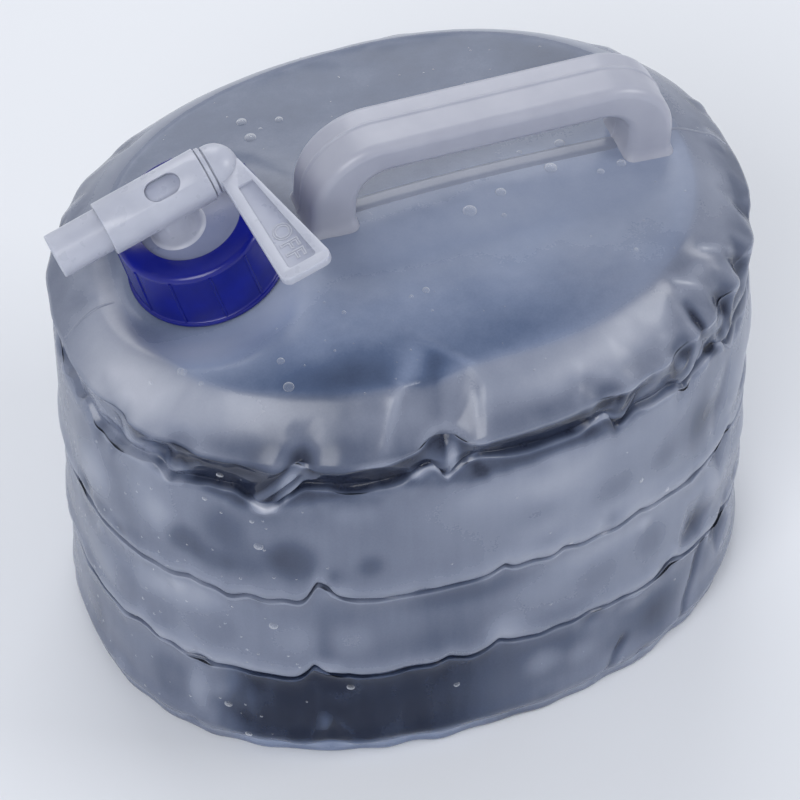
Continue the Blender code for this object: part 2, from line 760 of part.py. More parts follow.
def handle_section(outer, inner):
    """One section of the handle between its outer and inner edge, with rounded corners and mould lines."""
    rise = (outer - inner).length
    up = (outer - inner).normalized()
    half = HANDLE_WIDTH / 2
    radius = HANDLE_CORNER_RADIUS
    line = HANDLE_LINE_WIDTH / 2
    points = []
    for quarter, (side_y, side_w) in enumerate(((1, 1), (-1, 1), (-1, -1), (1, -1))):
        middle_y = side_y * (half - radius)
        middle_w = rise / 2 + side_w * (rise / 2 - radius)
        for step in range(HANDLE_CORNER_STEPS + 1):
            turn = math.pi / 2 * (quarter + step / HANDLE_CORNER_STEPS)
            points.append((middle_y + radius * math.cos(turn), middle_w + radius * math.sin(turn)))
        if (side_y, side_w) == (1, 1):
            points += [(line, rise), (0.0, rise + HANDLE_LINE_PROUD), (-line, rise)]
        if (side_y, side_w) == (-1, -1):
            points += [(-line, 0.0), (0.0, -HANDLE_LINE_PROUD), (line, 0.0)]
    return [inner + up * w + Vector((0.0, y, 0.0)) for y, w in points]


def handle():
    """The bridge handle: two feet on the crowned top, wide bends and a flat bar."""
    middle_x = (HANDLE_START_X + HANDLE_END_X) / 2
    half = (HANDLE_END_X - HANDLE_START_X) / 2
    thick = HANDLE_FOOT_THICKNESS
    foot = half - thick / 2
    left_z = top_height(middle_x - foot, 0.0)
    right_z = top_height(middle_x + foot, 0.0)
    lean = math.atan2(right_z - left_z, 2 * foot)
    middle_z = (left_z + right_z) / 2
    place = Matrix.Translation((middle_x, 0.0, middle_z)) @ Matrix.Rotation(-lean, 4, "Y")
    under = HANDLE_HEIGHT - HANDLE_BAR_THICKNESS
    pairs = [((-half, -HANDLE_FOOT_RUN), (-half + thick, -HANDLE_FOOT_RUN))]
    outer_middle = (-half + HANDLE_OUTER_RADIUS, HANDLE_HEIGHT - HANDLE_OUTER_RADIUS)
    inner_middle = (-half + thick + HANDLE_INNER_RADIUS, under - HANDLE_INNER_RADIUS)
    for step in range(HANDLE_ARC_STEPS + 1):
        turn = math.pi - math.pi / 2 * step / HANDLE_ARC_STEPS
        pairs.append(
            (
                (
                    outer_middle[0] + HANDLE_OUTER_RADIUS * math.cos(turn),
                    outer_middle[1] + HANDLE_OUTER_RADIUS * math.sin(turn),
                ),
                (
                    inner_middle[0] + HANDLE_INNER_RADIUS * math.cos(turn),
                    inner_middle[1] + HANDLE_INNER_RADIUS * math.sin(turn),
                ),
            )
        )
    pairs += [((-outer[0], outer[1]), (-inner[0], inner[1])) for outer, inner in reversed(pairs)]
    rings = []
    for outer, inner in pairs:
        outer_point = Vector((outer[0], 0.0, outer[1]))
        inner_point = Vector((inner[0], 0.0, inner[1]))
        rings.append(handle_section(outer_point, inner_point))
    bridge = loft("handle", rings, close_ends=True, finish=HANDLE_PLASTIC, place=place)
    boolean(bridge, "DIFFERENCE", handle_seat())


def handle_seat():
    """A block that follows the top panel's outer face, a gap above it, to cut the handle's feet to fit."""
    rings = panel_rings()
    for ring in rings:
        for point in ring:
            point.z += GAP
    rings.insert(0, level_ring(0.0, LIP_Z - HANDLE_FOOT_RUN))
    return loft("handle_seat", rings, close_ends=True, cutter=True)


def main():
    """Builds the carrier from the base up."""
    base_panel()
    bellows()
    neck_axis = add_axis("neck_axis", NECK_FRAME)
    tap_axis = add_axis("tap_axis", TAP_FRAME, parent=neck_axis)
    top_panel(neck_axis)
    handle()
    cap_ring(neck_axis)
    neck_gasket(neck_axis)
    tap_body(tap_axis)
    tap_spindle(tap_axis)
    spindle_seals(tap_axis)


main()
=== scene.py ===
"""Collapsible water carrier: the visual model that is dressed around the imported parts.

Sizes are millimetres unless a name says otherwise, and ``MM`` turns them into the frame's metres. In the
frame +X runs along the body, the tap is near its -X end, -Y is the near side and +Z is up.
"""
from __future__ import annotations

import logging
import math
from dataclasses import dataclass
from enum import Enum
from typing import Callable, Iterable, Sequence

import bmesh
import bpy
import numpy as np
from mathutils import Matrix, Vector
from mathutils.bvhtree import BVHTree


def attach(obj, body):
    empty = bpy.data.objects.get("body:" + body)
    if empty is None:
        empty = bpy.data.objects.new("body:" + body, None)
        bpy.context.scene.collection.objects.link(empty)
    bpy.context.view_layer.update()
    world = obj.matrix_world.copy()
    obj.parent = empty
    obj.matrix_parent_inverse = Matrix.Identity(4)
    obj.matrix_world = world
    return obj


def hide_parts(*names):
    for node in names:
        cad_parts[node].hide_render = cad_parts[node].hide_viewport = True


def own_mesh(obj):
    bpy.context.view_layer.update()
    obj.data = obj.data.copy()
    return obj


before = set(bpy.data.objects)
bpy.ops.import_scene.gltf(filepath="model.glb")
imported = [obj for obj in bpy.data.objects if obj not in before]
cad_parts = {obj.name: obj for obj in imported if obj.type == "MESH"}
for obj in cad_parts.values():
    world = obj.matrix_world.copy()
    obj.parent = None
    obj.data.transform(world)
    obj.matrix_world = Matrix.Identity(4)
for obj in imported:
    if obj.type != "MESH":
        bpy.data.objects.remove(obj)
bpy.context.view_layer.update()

LOG = logging.getLogger("water_carrier")
MM = 0.001
FULL_TURN = 2.0 * math.pi
QUARTER_TURN = 0.5 * math.pi

Array = np.ndarray
Point2 = tuple[float, float]
Point3 = tuple[float, float, float]
Line = tuple[Array, Array]
Nodes = bpy.types.NodeTree
Socket = bpy.types.NodeSocket
Object = bpy.types.Object
Material = bpy.types.Material
Mesh = bpy.types.Mesh
THREAD_PITCH = 4.0
THREAD_TURNS = 1.5


# Helpers for colours, nodes and meshes

def linear(code: str) -> tuple[float, float, float, float]:
    """Turns an sRGB colour into the linear one that shaders take.

    Args:
        code: the colour as "#rrggbb".

    Returns:
        Linear red, green and blue, and a full alpha.
    """
    channels = [int(code[i:i + 2], 16) / 255.0 for i in (1, 3, 5)]
    turned = [c / 12.92 if c <= 0.04045 else ((c + 0.055) / 1.055) ** 2.4 for c in channels]
    return turned[0], turned[1], turned[2], 1.0


def add_node(tree: Nodes, kind: str, inputs: dict | None = None, **settings: object) -> bpy.types.Node:
    """Adds a node to a tree.

    Args:
        tree: the node tree.
        kind: the node's type name.
        inputs: values for its inputs, or sockets to link to them, by name or number.
        settings: properties of the node.

    Returns:
        The new node.
    """
    item = tree.nodes.new(kind)
    for key, value in settings.items():
        setattr(item, key, value)
    for key, value in (inputs or {}).items():
        socket = item.inputs[key]
        if isinstance(value, Socket):
            tree.links.new(value, socket)
        else:
            socket.default_value = value
    return item


def new_object(name: str, data: bpy.types.ID) -> Object:
    """Links a new object for a mesh, a text, a light or a camera to the scene."""
    item = bpy.data.objects.new(name, data)
    bpy.context.scene.collection.objects.link(item)
    return item


def mesh_of(name: str, points: Iterable, faces: Iterable) -> Mesh:
    """Makes a mesh from points in millimetres.

    Args:
        name: the mesh's name.
        points: corner points in millimetres.
        faces: corner numbers of each face.

    Returns:
        The mesh, in metres, shaded smooth.
    """
    mesh = bpy.data.meshes.new(name)
    places = np.asarray(points, float) * MM
    mesh.from_pydata(places.tolist(), [], [list(face) for face in faces])
    mesh.polygons.foreach_set("use_smooth", [True] * len(mesh.polygons))
    mesh.update()
    return mesh


def ring_faces(rows: int, count: int, first: int = 0) -> list[tuple[int, int, int, int]]:
    """Faces between closed rings of points that lie one after another.

    Args:
        rows: how many rings.
        count: how many points a ring has.
        first: number of the first ring's first point.

    Returns:
        Four corner numbers a face, outward where rings run anticlockwise and rise.
    """
    faces = []
    for row in range(rows - 1):
        low = first + row * count
        for i in range(count):
            j = (i + 1) % count
            faces.append((low + i, low + j, low + count + j, low + count + i))
    return faces


def tidy_mesh(mesh: Mesh, merge: float = 0.004) -> None:
    """Merges doubled points and turns all faces outwards."""
    shape = bmesh.new()
    shape.from_mesh(mesh)
    bmesh.ops.remove_doubles(shape, verts=shape.verts, dist=merge * MM)
    bmesh.ops.recalc_face_normals(shape, faces=shape.faces)
    shape.to_mesh(mesh)
    shape.free()


def applied(item: Object) -> None:
    """Replaces an object's mesh by its evaluated one and drops its modifiers."""
    bpy.context.view_layer.update()
    ready = item.evaluated_get(bpy.context.evaluated_depsgraph_get())
    mesh = bpy.data.meshes.new_from_object(ready)
    item.modifiers.clear()
    old = item.data
    item.data = mesh
    bpy.data.meshes.remove(old)


def bevelled(item: Object, width: float, segments: int = 3, angle: float = 30.0) -> None:
    """Rounds an object's crisp edges.

    Args:
        item: the object.
        width: the rounding's width in millimetres.
        segments: facets across the rounding.
        angle: the least angle between faces of an edge that is rounded, in degrees.
    """
    step = item.modifiers.new("edge", "BEVEL")
    step.width = width * MM
    step.segments = segments
    step.limit_method = "ANGLE"
    step.angle_limit = math.radians(angle)
    step.harden_normals = False
    applied(item)


def combined(item: Object, operation: str, other: Object) -> None:
    """Applies an exact Boolean with another object, which is then removed."""
    step = item.modifiers.new(operation.lower(), "BOOLEAN")
    step.operation = operation
    step.solver = "EXACT"
    step.object = other
    applied(item)
    bpy.data.objects.remove(other, do_unlink=True)


def shaded(item: Object, angle: float = 38.0) -> None:
    """Shades an object smooth apart from edges sharper than an angle in degrees."""
    item.data.polygons.foreach_set("use_smooth", [True] * len(item.data.polygons))
    item.data.set_sharp_from_angle(angle=math.radians(angle))


def turned(name: str, profile: Sequence[Point2], place: Matrix, steps: int = 160) -> Object:
    """A closed turned shape.

    Args:
        name: the object's name.
        profile: closed line of (radius, height) in millimetres; a zero radius is a pole.
        place: the frame that the profile is spun in, about its Z.
        steps: facets round the turn.

    Returns:
        The object, with its place in its mesh.
    """
    points: list[Point3] = []
    for radius, height in profile:
        for i in range(steps):
            turn = FULL_TURN * i / steps
            points.append((radius * math.cos(turn), radius * math.sin(turn), height))
    faces = ring_faces(len(profile), steps)
    last = (len(profile) - 1) * steps
    if profile[0][0] > 0.0 or profile[-1][0] > 0.0:
        faces += [(last + i, last + (i + 1) % steps, (i + 1) % steps, i) for i in range(steps)]
    mesh = mesh_of(name, points, faces)
    tidy_mesh(mesh)
    item = new_object(name, mesh)
    mesh.transform(place)
    return item


def prism(name: str, corners: Sequence[Point2], low: float, high: float) -> Object:
    """An outline in local XY drawn out between two heights, all in millimetres."""
    count = len(corners)
    points = [(x, y, z) for z in (low, high) for x, y in corners]
    faces: list[tuple[int, ...]] = list(ring_faces(2, count))
    faces += [tuple(reversed(range(count))), tuple(range(count, 2 * count))]
    mesh = mesh_of(name, points, faces)
    tidy_mesh(mesh)
    return new_object(name, mesh)


def stadium(length: float, width: float, steps: int = 16) -> list[Point2]:
    """A slot's outline: two half rounds joined by straight sides, anticlockwise."""
    points = []
    for side in (1, -1):
        for step in range(steps + 1):
            turn = math.pi * step / steps - side * QUARTER_TURN
            middle = side * (length - width) / 2.0
            points.append((middle + width / 2.0 * math.cos(turn), width / 2.0 * math.sin(turn)))
    return points


def rounded(corners: Sequence[Point2], radii: Sequence[float], steps: int = 8) -> list[Point2]:
    """A closed outline with each corner replaced by an arc of its own radius."""
    points = []
    count = len(corners)
    for i, (spot, radius) in enumerate(zip(corners, radii)):
        corner = Vector(spot)
        before = (Vector(corners[i - 1]) - corner).normalized()
        after = (Vector(corners[(i + 1) % count]) - corner).normalized()
        half = before.angle(after) / 2.0
        reach = radius / math.tan(half)
        middle = corner + (before + after).normalized() * (radius / math.sin(half))
        start, end = corner + before * reach - middle, corner + after * reach - middle
        for step in range(steps + 1):
            arm = start.lerp(end, step / steps).normalized() * radius
            points.append(tuple(middle + arm))
    return points


def helix(name: str, radius: float, depth: float, floor: float) -> Object:
    """A screw thread's ridge round the neck's axis, which runs out at both ends.

    Args:
        name: the object's name.
        radius: the radius that it grows from.
        depth: how far it stands out, or in if negative.
        floor: height of its first turn's middle.

    Returns:
        The object.
    """
    steps, run_out, sink = 72, 9, math.copysign(0.4, depth)
    half_root, half_crest = 0.9, 0.45
    total = int(steps * THREAD_TURNS)
    points: list[Point3] = []
    for step in range(total + 1):
        turn = FULL_TURN * step / steps
        share = min(1.0, (min(step, total - step) + 1) / run_out)
        height = floor + THREAD_PITCH * step / steps
        root, crest = radius - sink, radius + depth * share
        for r, z in ((root, -half_root), (crest, -half_crest), (crest, half_crest), (root, half_root)):
            points.append((r * math.cos(turn), r * math.sin(turn), height + z))
    faces = [*ring_faces(total + 1, 4), (3, 2, 1, 0), tuple(range(4 * total, 4 * total + 4))]
    mesh = mesh_of(name, points, faces)
    tidy_mesh(mesh)
    mesh.transform(PLACES.neck)
    item = new_object(name, mesh)
    shaded(item)
    return item


def evaluated_tree(name: str, mesh: Mesh, tree: Nodes, values: dict[str, object]
                   ) -> Object:
    """Runs a Geometry Nodes tree on a mesh and keeps the result as a plain mesh.

    Args:
        name: the new object's name.
        mesh: the mesh that the tree starts from.
        tree: the Geometry Nodes tree.
        values: its inputs, by the names of its interface.

    Returns:
        The object, without the modifier.
    """
    item = new_object(name, mesh)
    step = item.modifiers.new("nodes", "NODES")
    step.node_group = tree
    sockets = {s.name: s.identifier for s in tree.interface.items_tree if s.in_out == "INPUT"}
    for label, value in values.items():
        step[sockets[label]] = value
    applied(item)
    return item


def logged(item: Object) -> None:
    """Logs a finished piece."""
    LOG.info("%s: %d faces", item.name, len(item.data.polygons))


def dressed(item: Object, finish: Material) -> None:
    """Gives a piece one material."""
    item.data.materials.clear()
    item.data.materials.append(finish)


def dressed_partly(item: Object, finish: Material,
                   chosen: Callable[[Vector], bool]) -> None:
    """Gives a second material to the faces whose middles, in millimetres, are chosen."""
    item.data.materials.append(finish)
    last = len(item.data.materials) - 1
    for face in item.data.polygons:
        if chosen(face.center / MM):
            face.material_index = last


def new_tree(name: str, inputs: dict[str, str]) -> Nodes:
    """A Geometry Nodes tree with a geometry output and named inputs, each of a socket type."""
    tree = bpy.data.node_groups.new(name, "GeometryNodeTree")
    tree.interface.new_socket("Geometry", in_out="OUTPUT", socket_type="NodeSocketGeometry")
    for label, kind in inputs.items():
        tree.interface.new_socket(label, in_out="INPUT", socket_type="NodeSocket" + kind)
    return tree


def end_tree(tree: Nodes, instances: Socket, finish: Material) -> None:
    """Ends a Geometry Nodes tree: instances become real, smooth and of one material."""
    real = add_node(tree, "GeometryNodeRealizeInstances", {"Geometry": instances}).outputs[0]
    smooth = add_node(tree, "GeometryNodeSetShadeSmooth", {"Geometry": real}).outputs[0]
    done = add_node(tree, "GeometryNodeSetMaterial", {"Geometry": smooth, "Material": finish}).outputs[0]
    add_node(tree, "NodeGroupOutput", {"Geometry": done})


# Places that come from the parts: the leaning neck, and the tap on it

@dataclass(frozen=True)
class Places:
    """Frames of the neck and of the tap, and the screw ring's height."""

    neck_x: float = -74.5
    seat_z: float = 189.7
    lean: float = 15.0
    side_lean: float = 3.2
    cap_height: float = 27.4
    tap_rise: float = 16.3
    tap_swing: float = 5.4

    @property
    def neck(self) -> Matrix:
        """The neck's frame: Z runs out of the neck."""
        return (
            Matrix.Translation((self.neck_x * MM, 0.0, self.seat_z * MM))
            @ Matrix.Rotation(math.radians(self.side_lean), 4, "X")
            @ Matrix.Rotation(math.radians(-self.lean), 4, "Y")
            @ Matrix.Rotation(math.pi, 4, "Z")
        )

    @property
    def tap(self) -> Matrix:
        """The tap's frame: X runs along the barrel to the nozzle, Y along the lever and Z up."""
        rise = Matrix.Translation((0.0, 0.0, (self.cap_height + self.tap_rise) * MM))
        return self.neck @ rise @ Matrix.Rotation(math.radians(self.tap_swing), 4, "Z")


PLACES = Places()


# Finishes

def new_material(name: str) -> tuple[Material, Nodes, bpy.types.Node]:
    """A material with its tree and its Principled shader."""
    finish = bpy.data.materials.new(name)
    finish.use_nodes = True
    tree = finish.node_tree
    return finish, tree, tree.nodes["Principled BSDF"]


def object_noise(tree: Nodes, size: float, detail: float = 2.0, roughness: float = 0.5) -> Socket:
    """Noise in Object coordinates whose features are about a size in millimetres across."""
    place = add_node(tree, "ShaderNodeTexCoord").outputs["Object"]
    scale = 1.0 / (size * MM)
    settings = {"Vector": place, "Scale": scale, "Detail": detail, "Roughness": roughness}
    return add_node(tree, "ShaderNodeTexNoise", settings).outputs["Fac"]


def ranged(tree: Nodes, value: Socket, low: float, high: float, start: float = 0.0,
           end: float = 1.0) -> Socket:
    """Maps a value from one range to another, held to the new range."""
    limits = {"Value": value, "From Min": start, "From Max": end, "To Min": low, "To Max": high}
    return add_node(tree, "ShaderNodeMapRange", limits).outputs["Result"]


def bumped(tree: Nodes, height: Socket, strength: float, depth: float,
           before: Socket | None = None) -> Socket:
    """A normal bent by a height of some depth in millimetres, on top of an earlier bend if there is one."""
    settings = {"Height": height, "Strength": strength, "Distance": depth * MM}
    if before:
        settings["Normal"] = before
    return add_node(tree, "ShaderNodeBump", settings).outputs["Normal"]


@dataclass(frozen=True)
class MilkyFilmWithPaintedLight:
    """Low-density polyethylene film, blow-moulded: frosted and milky, clear where it is stretched, with
    painted highlights and shade in its colour.
    """

    # The moulding's chilled skin scatters light softly, so that it mirrors only broad shapes. Where the film
    # was stretched at folds and along the lowest tier it is clear and glossier; its dark colour there is
    # painted shade, standing for the dark seen through the clear film and mirrored in it. The ramps run on an
    # attribute that also carries painted highlights, shade and reflections.
    name: str = "blow_moulded_ldpe_film_painted_light"
    plain: tuple[str, ...] = ("#262c3e", "#535b70", "#83899a", "#b4b7c3")
    cool: tuple[str, ...] = ("#1c2438", "#4f5e7c", "#8592ae", "#acb6cc")
    stops: tuple[float, ...] = (0.0, 0.3, 0.6, 1.0)
    clear_roughness: float = 0.12
    milky_roughness: float = 0.30
    clear_gloss: float = 0.2
    milky_gloss: float = 0.5
    clear_alpha: float = 0.93
    milky_alpha: float = 0.95
    ior: float = 1.51
    cloud_size: float = 34.0
    cloud_depth: float = 0.05
    streak_size: float = 5.0
    streak_stretch: float = 0.12
    streak_depth: float = 0.018
    speck_size: float = 0.8
    speck_depth: float = 0.012
    ripple_size: float = 14.0
    ripple_height: float = 0.35
    grain_size: float = 0.7
    grain_height: float = 0.006

    def _tone(self, tree: Nodes) -> Socket:
        """The milkiness, with the painted light that its attribute carries, soft clouds, faint drawn streaks
        and fine specks.
        """
        milk = add_node(tree, "ShaderNodeAttribute", attribute_name="milk").outputs["Fac"]
        place = add_node(tree, "ShaderNodeTexCoord").outputs["Object"]
        stretch = {"Vector": place, "Scale": (1.0, 1.0, self.streak_stretch)}
        drawn = add_node(tree, "ShaderNodeMapping", stretch).outputs["Vector"]
        settings = {"Vector": drawn, "Scale": 1.0 / (self.streak_size * MM), "Detail": 2.0}
        streaks = add_node(tree, "ShaderNodeTexNoise", settings)
        layers = ((object_noise(tree, self.cloud_size, 1.0), self.cloud_depth),
                  (streaks.outputs["Fac"], self.streak_depth),
                  (object_noise(tree, self.speck_size, 1.0), self.speck_depth))
        level = milk
        for noise, depth in layers:
            part = ranged(tree, noise, -depth, depth, 0.25, 0.75)
            added = add_node(tree, "ShaderNodeMath", {0: level, 1: part}, operation="ADD", use_clamp=True)
            level = added.outputs[0]
        return level

    def _tint(self, tree: Nodes, level: Socket, colours: Sequence[str]) -> Socket:
        """One run of colours from clear, painted dark as shade, to brightest."""
        ramp = add_node(tree, "ShaderNodeValToRGB", {"Fac": level})
        while len(ramp.color_ramp.elements) < len(colours):
            ramp.color_ramp.elements.new(0.5)
        for stop, where, colour in zip(ramp.color_ramp.elements, self.stops, colours):
            stop.position = where
            stop.color = linear(colour)
        return ramp.outputs["Color"]

    def make(self) -> Material:
        """Builds the material; "milk" runs from clear, painted dark as shade, to brightest, painted
        highlights among it, and "cool" is how blue it is.
        """
        finish, tree, shader = new_material(self.name)
        level = self._tone(tree)
        coolness = add_node(tree, "ShaderNodeAttribute", attribute_name="cool").outputs["Fac"]
        blend = add_node(tree, "ShaderNodeMix", {"Factor": coolness}, data_type="RGBA")
        tree.links.new(self._tint(tree, level, self.plain), blend.inputs[6])
        tree.links.new(self._tint(tree, level, self.cool), blend.inputs[7])
        tree.links.new(blend.outputs[2], shader.inputs["Base Color"])
        rough = ranged(tree, level, self.clear_roughness, self.milky_roughness, 0.0, 0.6)
        tree.links.new(rough, shader.inputs["Roughness"])
        # Only the side of each wall that faces the light is seen, so that a wall of two skins counts once.
        behind = add_node(tree, "ShaderNodeNewGeometry").outputs["Backfacing"]
        front = add_node(tree, "ShaderNodeMath", {0: 1.0, 1: behind}, operation="SUBTRACT").outputs[0]
        alpha = ranged(tree, level, self.clear_alpha, self.milky_alpha)
        seen = add_node(tree, "ShaderNodeMath", {0: alpha, 1: front}, operation="MULTIPLY").outputs[0]
        tree.links.new(seen, shader.inputs["Alpha"])
        wavy = bumped(tree, object_noise(tree, self.ripple_size, 1.0), 1.0, self.ripple_height)
        fine = bumped(tree, object_noise(tree, self.grain_size, 1.0), 0.5, self.grain_height, wavy)
        tree.links.new(fine, shader.inputs["Normal"])
        gloss = ranged(tree, level, self.clear_gloss, self.milky_gloss, 0.0, 0.5)
        tree.links.new(gloss, shader.inputs["Specular IOR Level"])
        shader.inputs["IOR"].default_value = self.ior
        return finish


@dataclass(frozen=True)
class MouldedPlastic:
    """A solid injection- or blow-moulded plastic, tinted through, with faint flow clouds and a fine skin."""

    name: str
    base: str
    shade: str
    roughness: float
    ior: float
    scatter: float = 0.0
    scatter_reach: float = 4.0
    cloud_size: float = 14.0
    skin_size: float = 0.7
    skin_depth: float = 0.02

    def make(self) -> Material:
        """Builds the material."""
        finish, tree, shader = new_material(self.name)
        cloud = ranged(tree, object_noise(tree, self.cloud_size, 3.0), 0.0, 1.0, 0.35, 0.65)
        ramp = add_node(tree, "ShaderNodeValToRGB", {"Fac": cloud})
        ramp.color_ramp.elements[0].color = linear(self.base)
        ramp.color_ramp.elements[1].color = linear(self.shade)
        tree.links.new(ramp.outputs["Color"], shader.inputs["Base Color"])
        patches = object_noise(tree, self.cloud_size * 0.4, 2.0)
        rough = ranged(tree, patches, self.roughness * 0.88, self.roughness * 1.12, 0.3, 0.7)
        tree.links.new(rough, shader.inputs["Roughness"])
        skin = bumped(tree, object_noise(tree, self.skin_size, 2.0), 0.25, self.skin_depth)
        tree.links.new(skin, shader.inputs["Normal"])
        shader.inputs["IOR"].default_value = self.ior
        shader.inputs["Subsurface Weight"].default_value = self.scatter
        shader.inputs["Subsurface Radius"].default_value = (1.0, 1.0, 1.0)
        shader.inputs["Subsurface Scale"].default_value = self.scatter_reach * MM
        return finish


@dataclass(frozen=True)
class WaterBead:
    """Clean water standing on polyethylene in beads: clear, mirror-smooth and round by surface tension."""

    # A bead is clear in its middle. Its bright ring at the rim is partly its reflection, which grows towards
    # the rim,
    # and partly a painted highlight: the whitish tint is made nearly opaque there by the facing angle.
    name: str = "water_bead"
    rim_highlight_tint: str = "#e6eaf2"
    ior: float = 1.333
    roughness: float = 0.03
    middle_alpha: float = 0.08
    rim_alpha: float = 0.85
    rim_blend: float = 0.42

    def make(self) -> Material:
        """Builds the material."""
        finish, tree, shader = new_material(self.name)
        shader.inputs["Base Color"].default_value = linear(self.rim_highlight_tint)
        shader.inputs["IOR"].default_value = self.ior
        rough = ranged(tree, object_noise(tree, 2.0), self.roughness, self.roughness * 2.0)
        tree.links.new(rough, shader.inputs["Roughness"])
        rim = add_node(tree, "ShaderNodeLayerWeight", {"Blend": self.rim_blend}).outputs["Facing"]
        alpha = ranged(tree, rim, self.middle_alpha, self.rim_alpha, 0.15, 0.95)
        tree.links.new(alpha, shader.inputs["Alpha"])
        return finish


@dataclass(frozen=True)
class StudioPaper:
    """Matt pale paper roll under the object."""

    name: str = "studio_paper"
    base: str = "#dfe2e8"
    roughness: float = 0.9

    def make(self) -> Material:
        """Builds the material."""
        finish, tree, shader = new_material(self.name)
        shader.inputs["Base Color"].default_value = linear(self.base)
        shader.inputs["Roughness"].default_value = self.roughness
        shader.inputs["Specular IOR Level"].default_value = 0.1
        return finish


# Marks pressed into the film. "arc" is the distance round the outline from the middle of the near side,
# towards +X, and "level" is the height on the walls. Above the lip it goes on at LEVEL_PER_SHARE for each
# whole share of the way in to the middle. Changes of tone, painted highlights, shade and reflections among
# them, are placed by the same measures.

LIP_LEVEL = 168.5
LEVEL_PER_SHARE = 144.0


def hump(value: Array, middle: float | Array, half: float) -> Array:
    """A soft hump of height 1 about a middle."""
    return np.exp(-((value - middle) / half) ** 2)


def past(value: Array, start: float | Array, half: float) -> Array:
    """Rises softly from 0 to 1 past a start, or falls if the half width is negative."""
    return 1.0 / (1.0 + np.exp((start - value) / half))


def round_from(arc: Array, start: float, length: float) -> Array:
    """Arcs counted from a start the short way round an outline of some length."""
    return (arc - start + length / 2.0) % length - length / 2.0


@dataclass(frozen=True)
class Tent:
    """A convex patch that is pushed in as a pyramid, deepest at its middle and creased at its border."""

    middle: Point2
    corners: tuple[Point2, ...]
    depth: float
    power: float = 1.0

    def depth_at(self, arc: Array, level: Array, length: float) -> Array:
        """How far it pushes the film in at each place.

        Args:
            arc: arcs of the places.
            level: their levels.
            length: the outline's whole length.

        Returns:
            Depths in millimetres.
        """
        across = round_from(arc, self.middle[0], length)
        rise = level - self.middle[1]
        share = np.zeros_like(across)
        for (ax, ay), (bx, by) in zip(self.corners, self.corners[1:] + self.corners[:1]):
            normal = (by - ay, ax - bx)
            reach = normal[0] * (ax - self.middle[0]) + normal[1] * (ay - self.middle[1])
            share = np.maximum(share, (normal[0] * across + normal[1] * rise) / reach)
        return self.depth * np.clip(1.0 - share, 0.0, 1.0) ** self.power


@dataclass(frozen=True)
class Swell:
    """A soft round hollow, or a bulge if its depth is negative."""

    arc: float
    level: float
    half_arc: float
    half_level: float
    depth: float
    power: float = 2.0

    def depth_at(self, arc: Array, level: Array, length: float) -> Array:
        """How far it pushes the film in at each place."""
        across = round_from(arc, self.arc, length)
        away = np.hypot(across / self.half_arc, (level - self.level) / self.half_level)
        return self.depth * np.exp(-away ** self.power)


@dataclass(frozen=True)
class Pleat:
    """A straight crease between two places, with a crisp bottom."""

    start_arc: float
    start_level: float
    end_arc: float
    end_level: float
    width: float
    depth: float
    power: float = 1.0

    def depth_at(self, arc: Array, level: Array, length: float) -> Array:
        """How far it pushes the film in at each place."""
        run = np.array((self.end_arc - self.start_arc, self.end_level - self.start_level))
        reach = float(np.hypot(*run))
        ahead = run / reach
        across = round_from(arc, self.start_arc, length)
        rise = level - self.start_level
        along = across * ahead[0] + rise * ahead[1]
        aside = np.abs(rise * ahead[0] - across * ahead[1])
        over = np.maximum(np.maximum(-along, along - reach), 0.0)
        return self.depth * np.exp(-(np.hypot(aside, over) / self.width) ** self.power)


@dataclass(frozen=True)
class Kink:
    """A place where a fold line jumps up and in."""

    arc: float
    rise: float
    inset: float
    left: float
    right: float

    def near(self, arc: Array) -> Array:
        """Its share of effect at each arc: a steep flank on one side and a gentle one on the other."""
        across = arc - self.arc
        return np.exp(-np.abs(across / np.where(across < 0.0, self.left, self.right)) ** 1.6)


# Kinks of each fold, numbered from the top: arc, rise, inset, and reach left and right
KINKS = {
    3: (
        (-71, 8.5, 3, 4, 6.5), (-58, 1.6, 0.6, 3, 6), (0, 3, 1, 3, 6), (79, 3, 1, 4, 7),
        (-20, 1.4, 0.5, 3, 4), (-140, 2, 0.5, 6, 6), (-112, -2, 0.4, 5, 5), (112, -2.5, 0.8, 5, 5),
    ),
    2: (
        (-69, 9, 3.6, 3.6, 8), (-54, -1.2, 0.3, 4, 6), (2, 3, 1, 4, 3), (26, 2.2, 1, 3, 5),
        (-118, 2.2, 0.5, 4, 6), (60, 1.6, 0.5, 5, 4), (-103, -1.6, 0.4, 4, 5), (88, -2.4, 0.8, 5, 4),
        (112, 3, 1, 4, 5),
    ),
    1: (
        (-175, 3, -1.2, 5, 7), (150, 4, 0.6, 4, 6), (168, -4, -1.6, 6, 4), (215, 4, -1, 4, 8),
        (262, -5, -2, 7, 4), (301, 4, 0.5, 5, 5), (338, -4.5, -1.8, 4, 6), (-210, 3.5, 0.5, 6, 4),
        (-245, -4, -1.8, 5, 5), (-290, 4, 0.5, 4, 7), (-330, -4.5, -2, 5, 5),
    ),
}

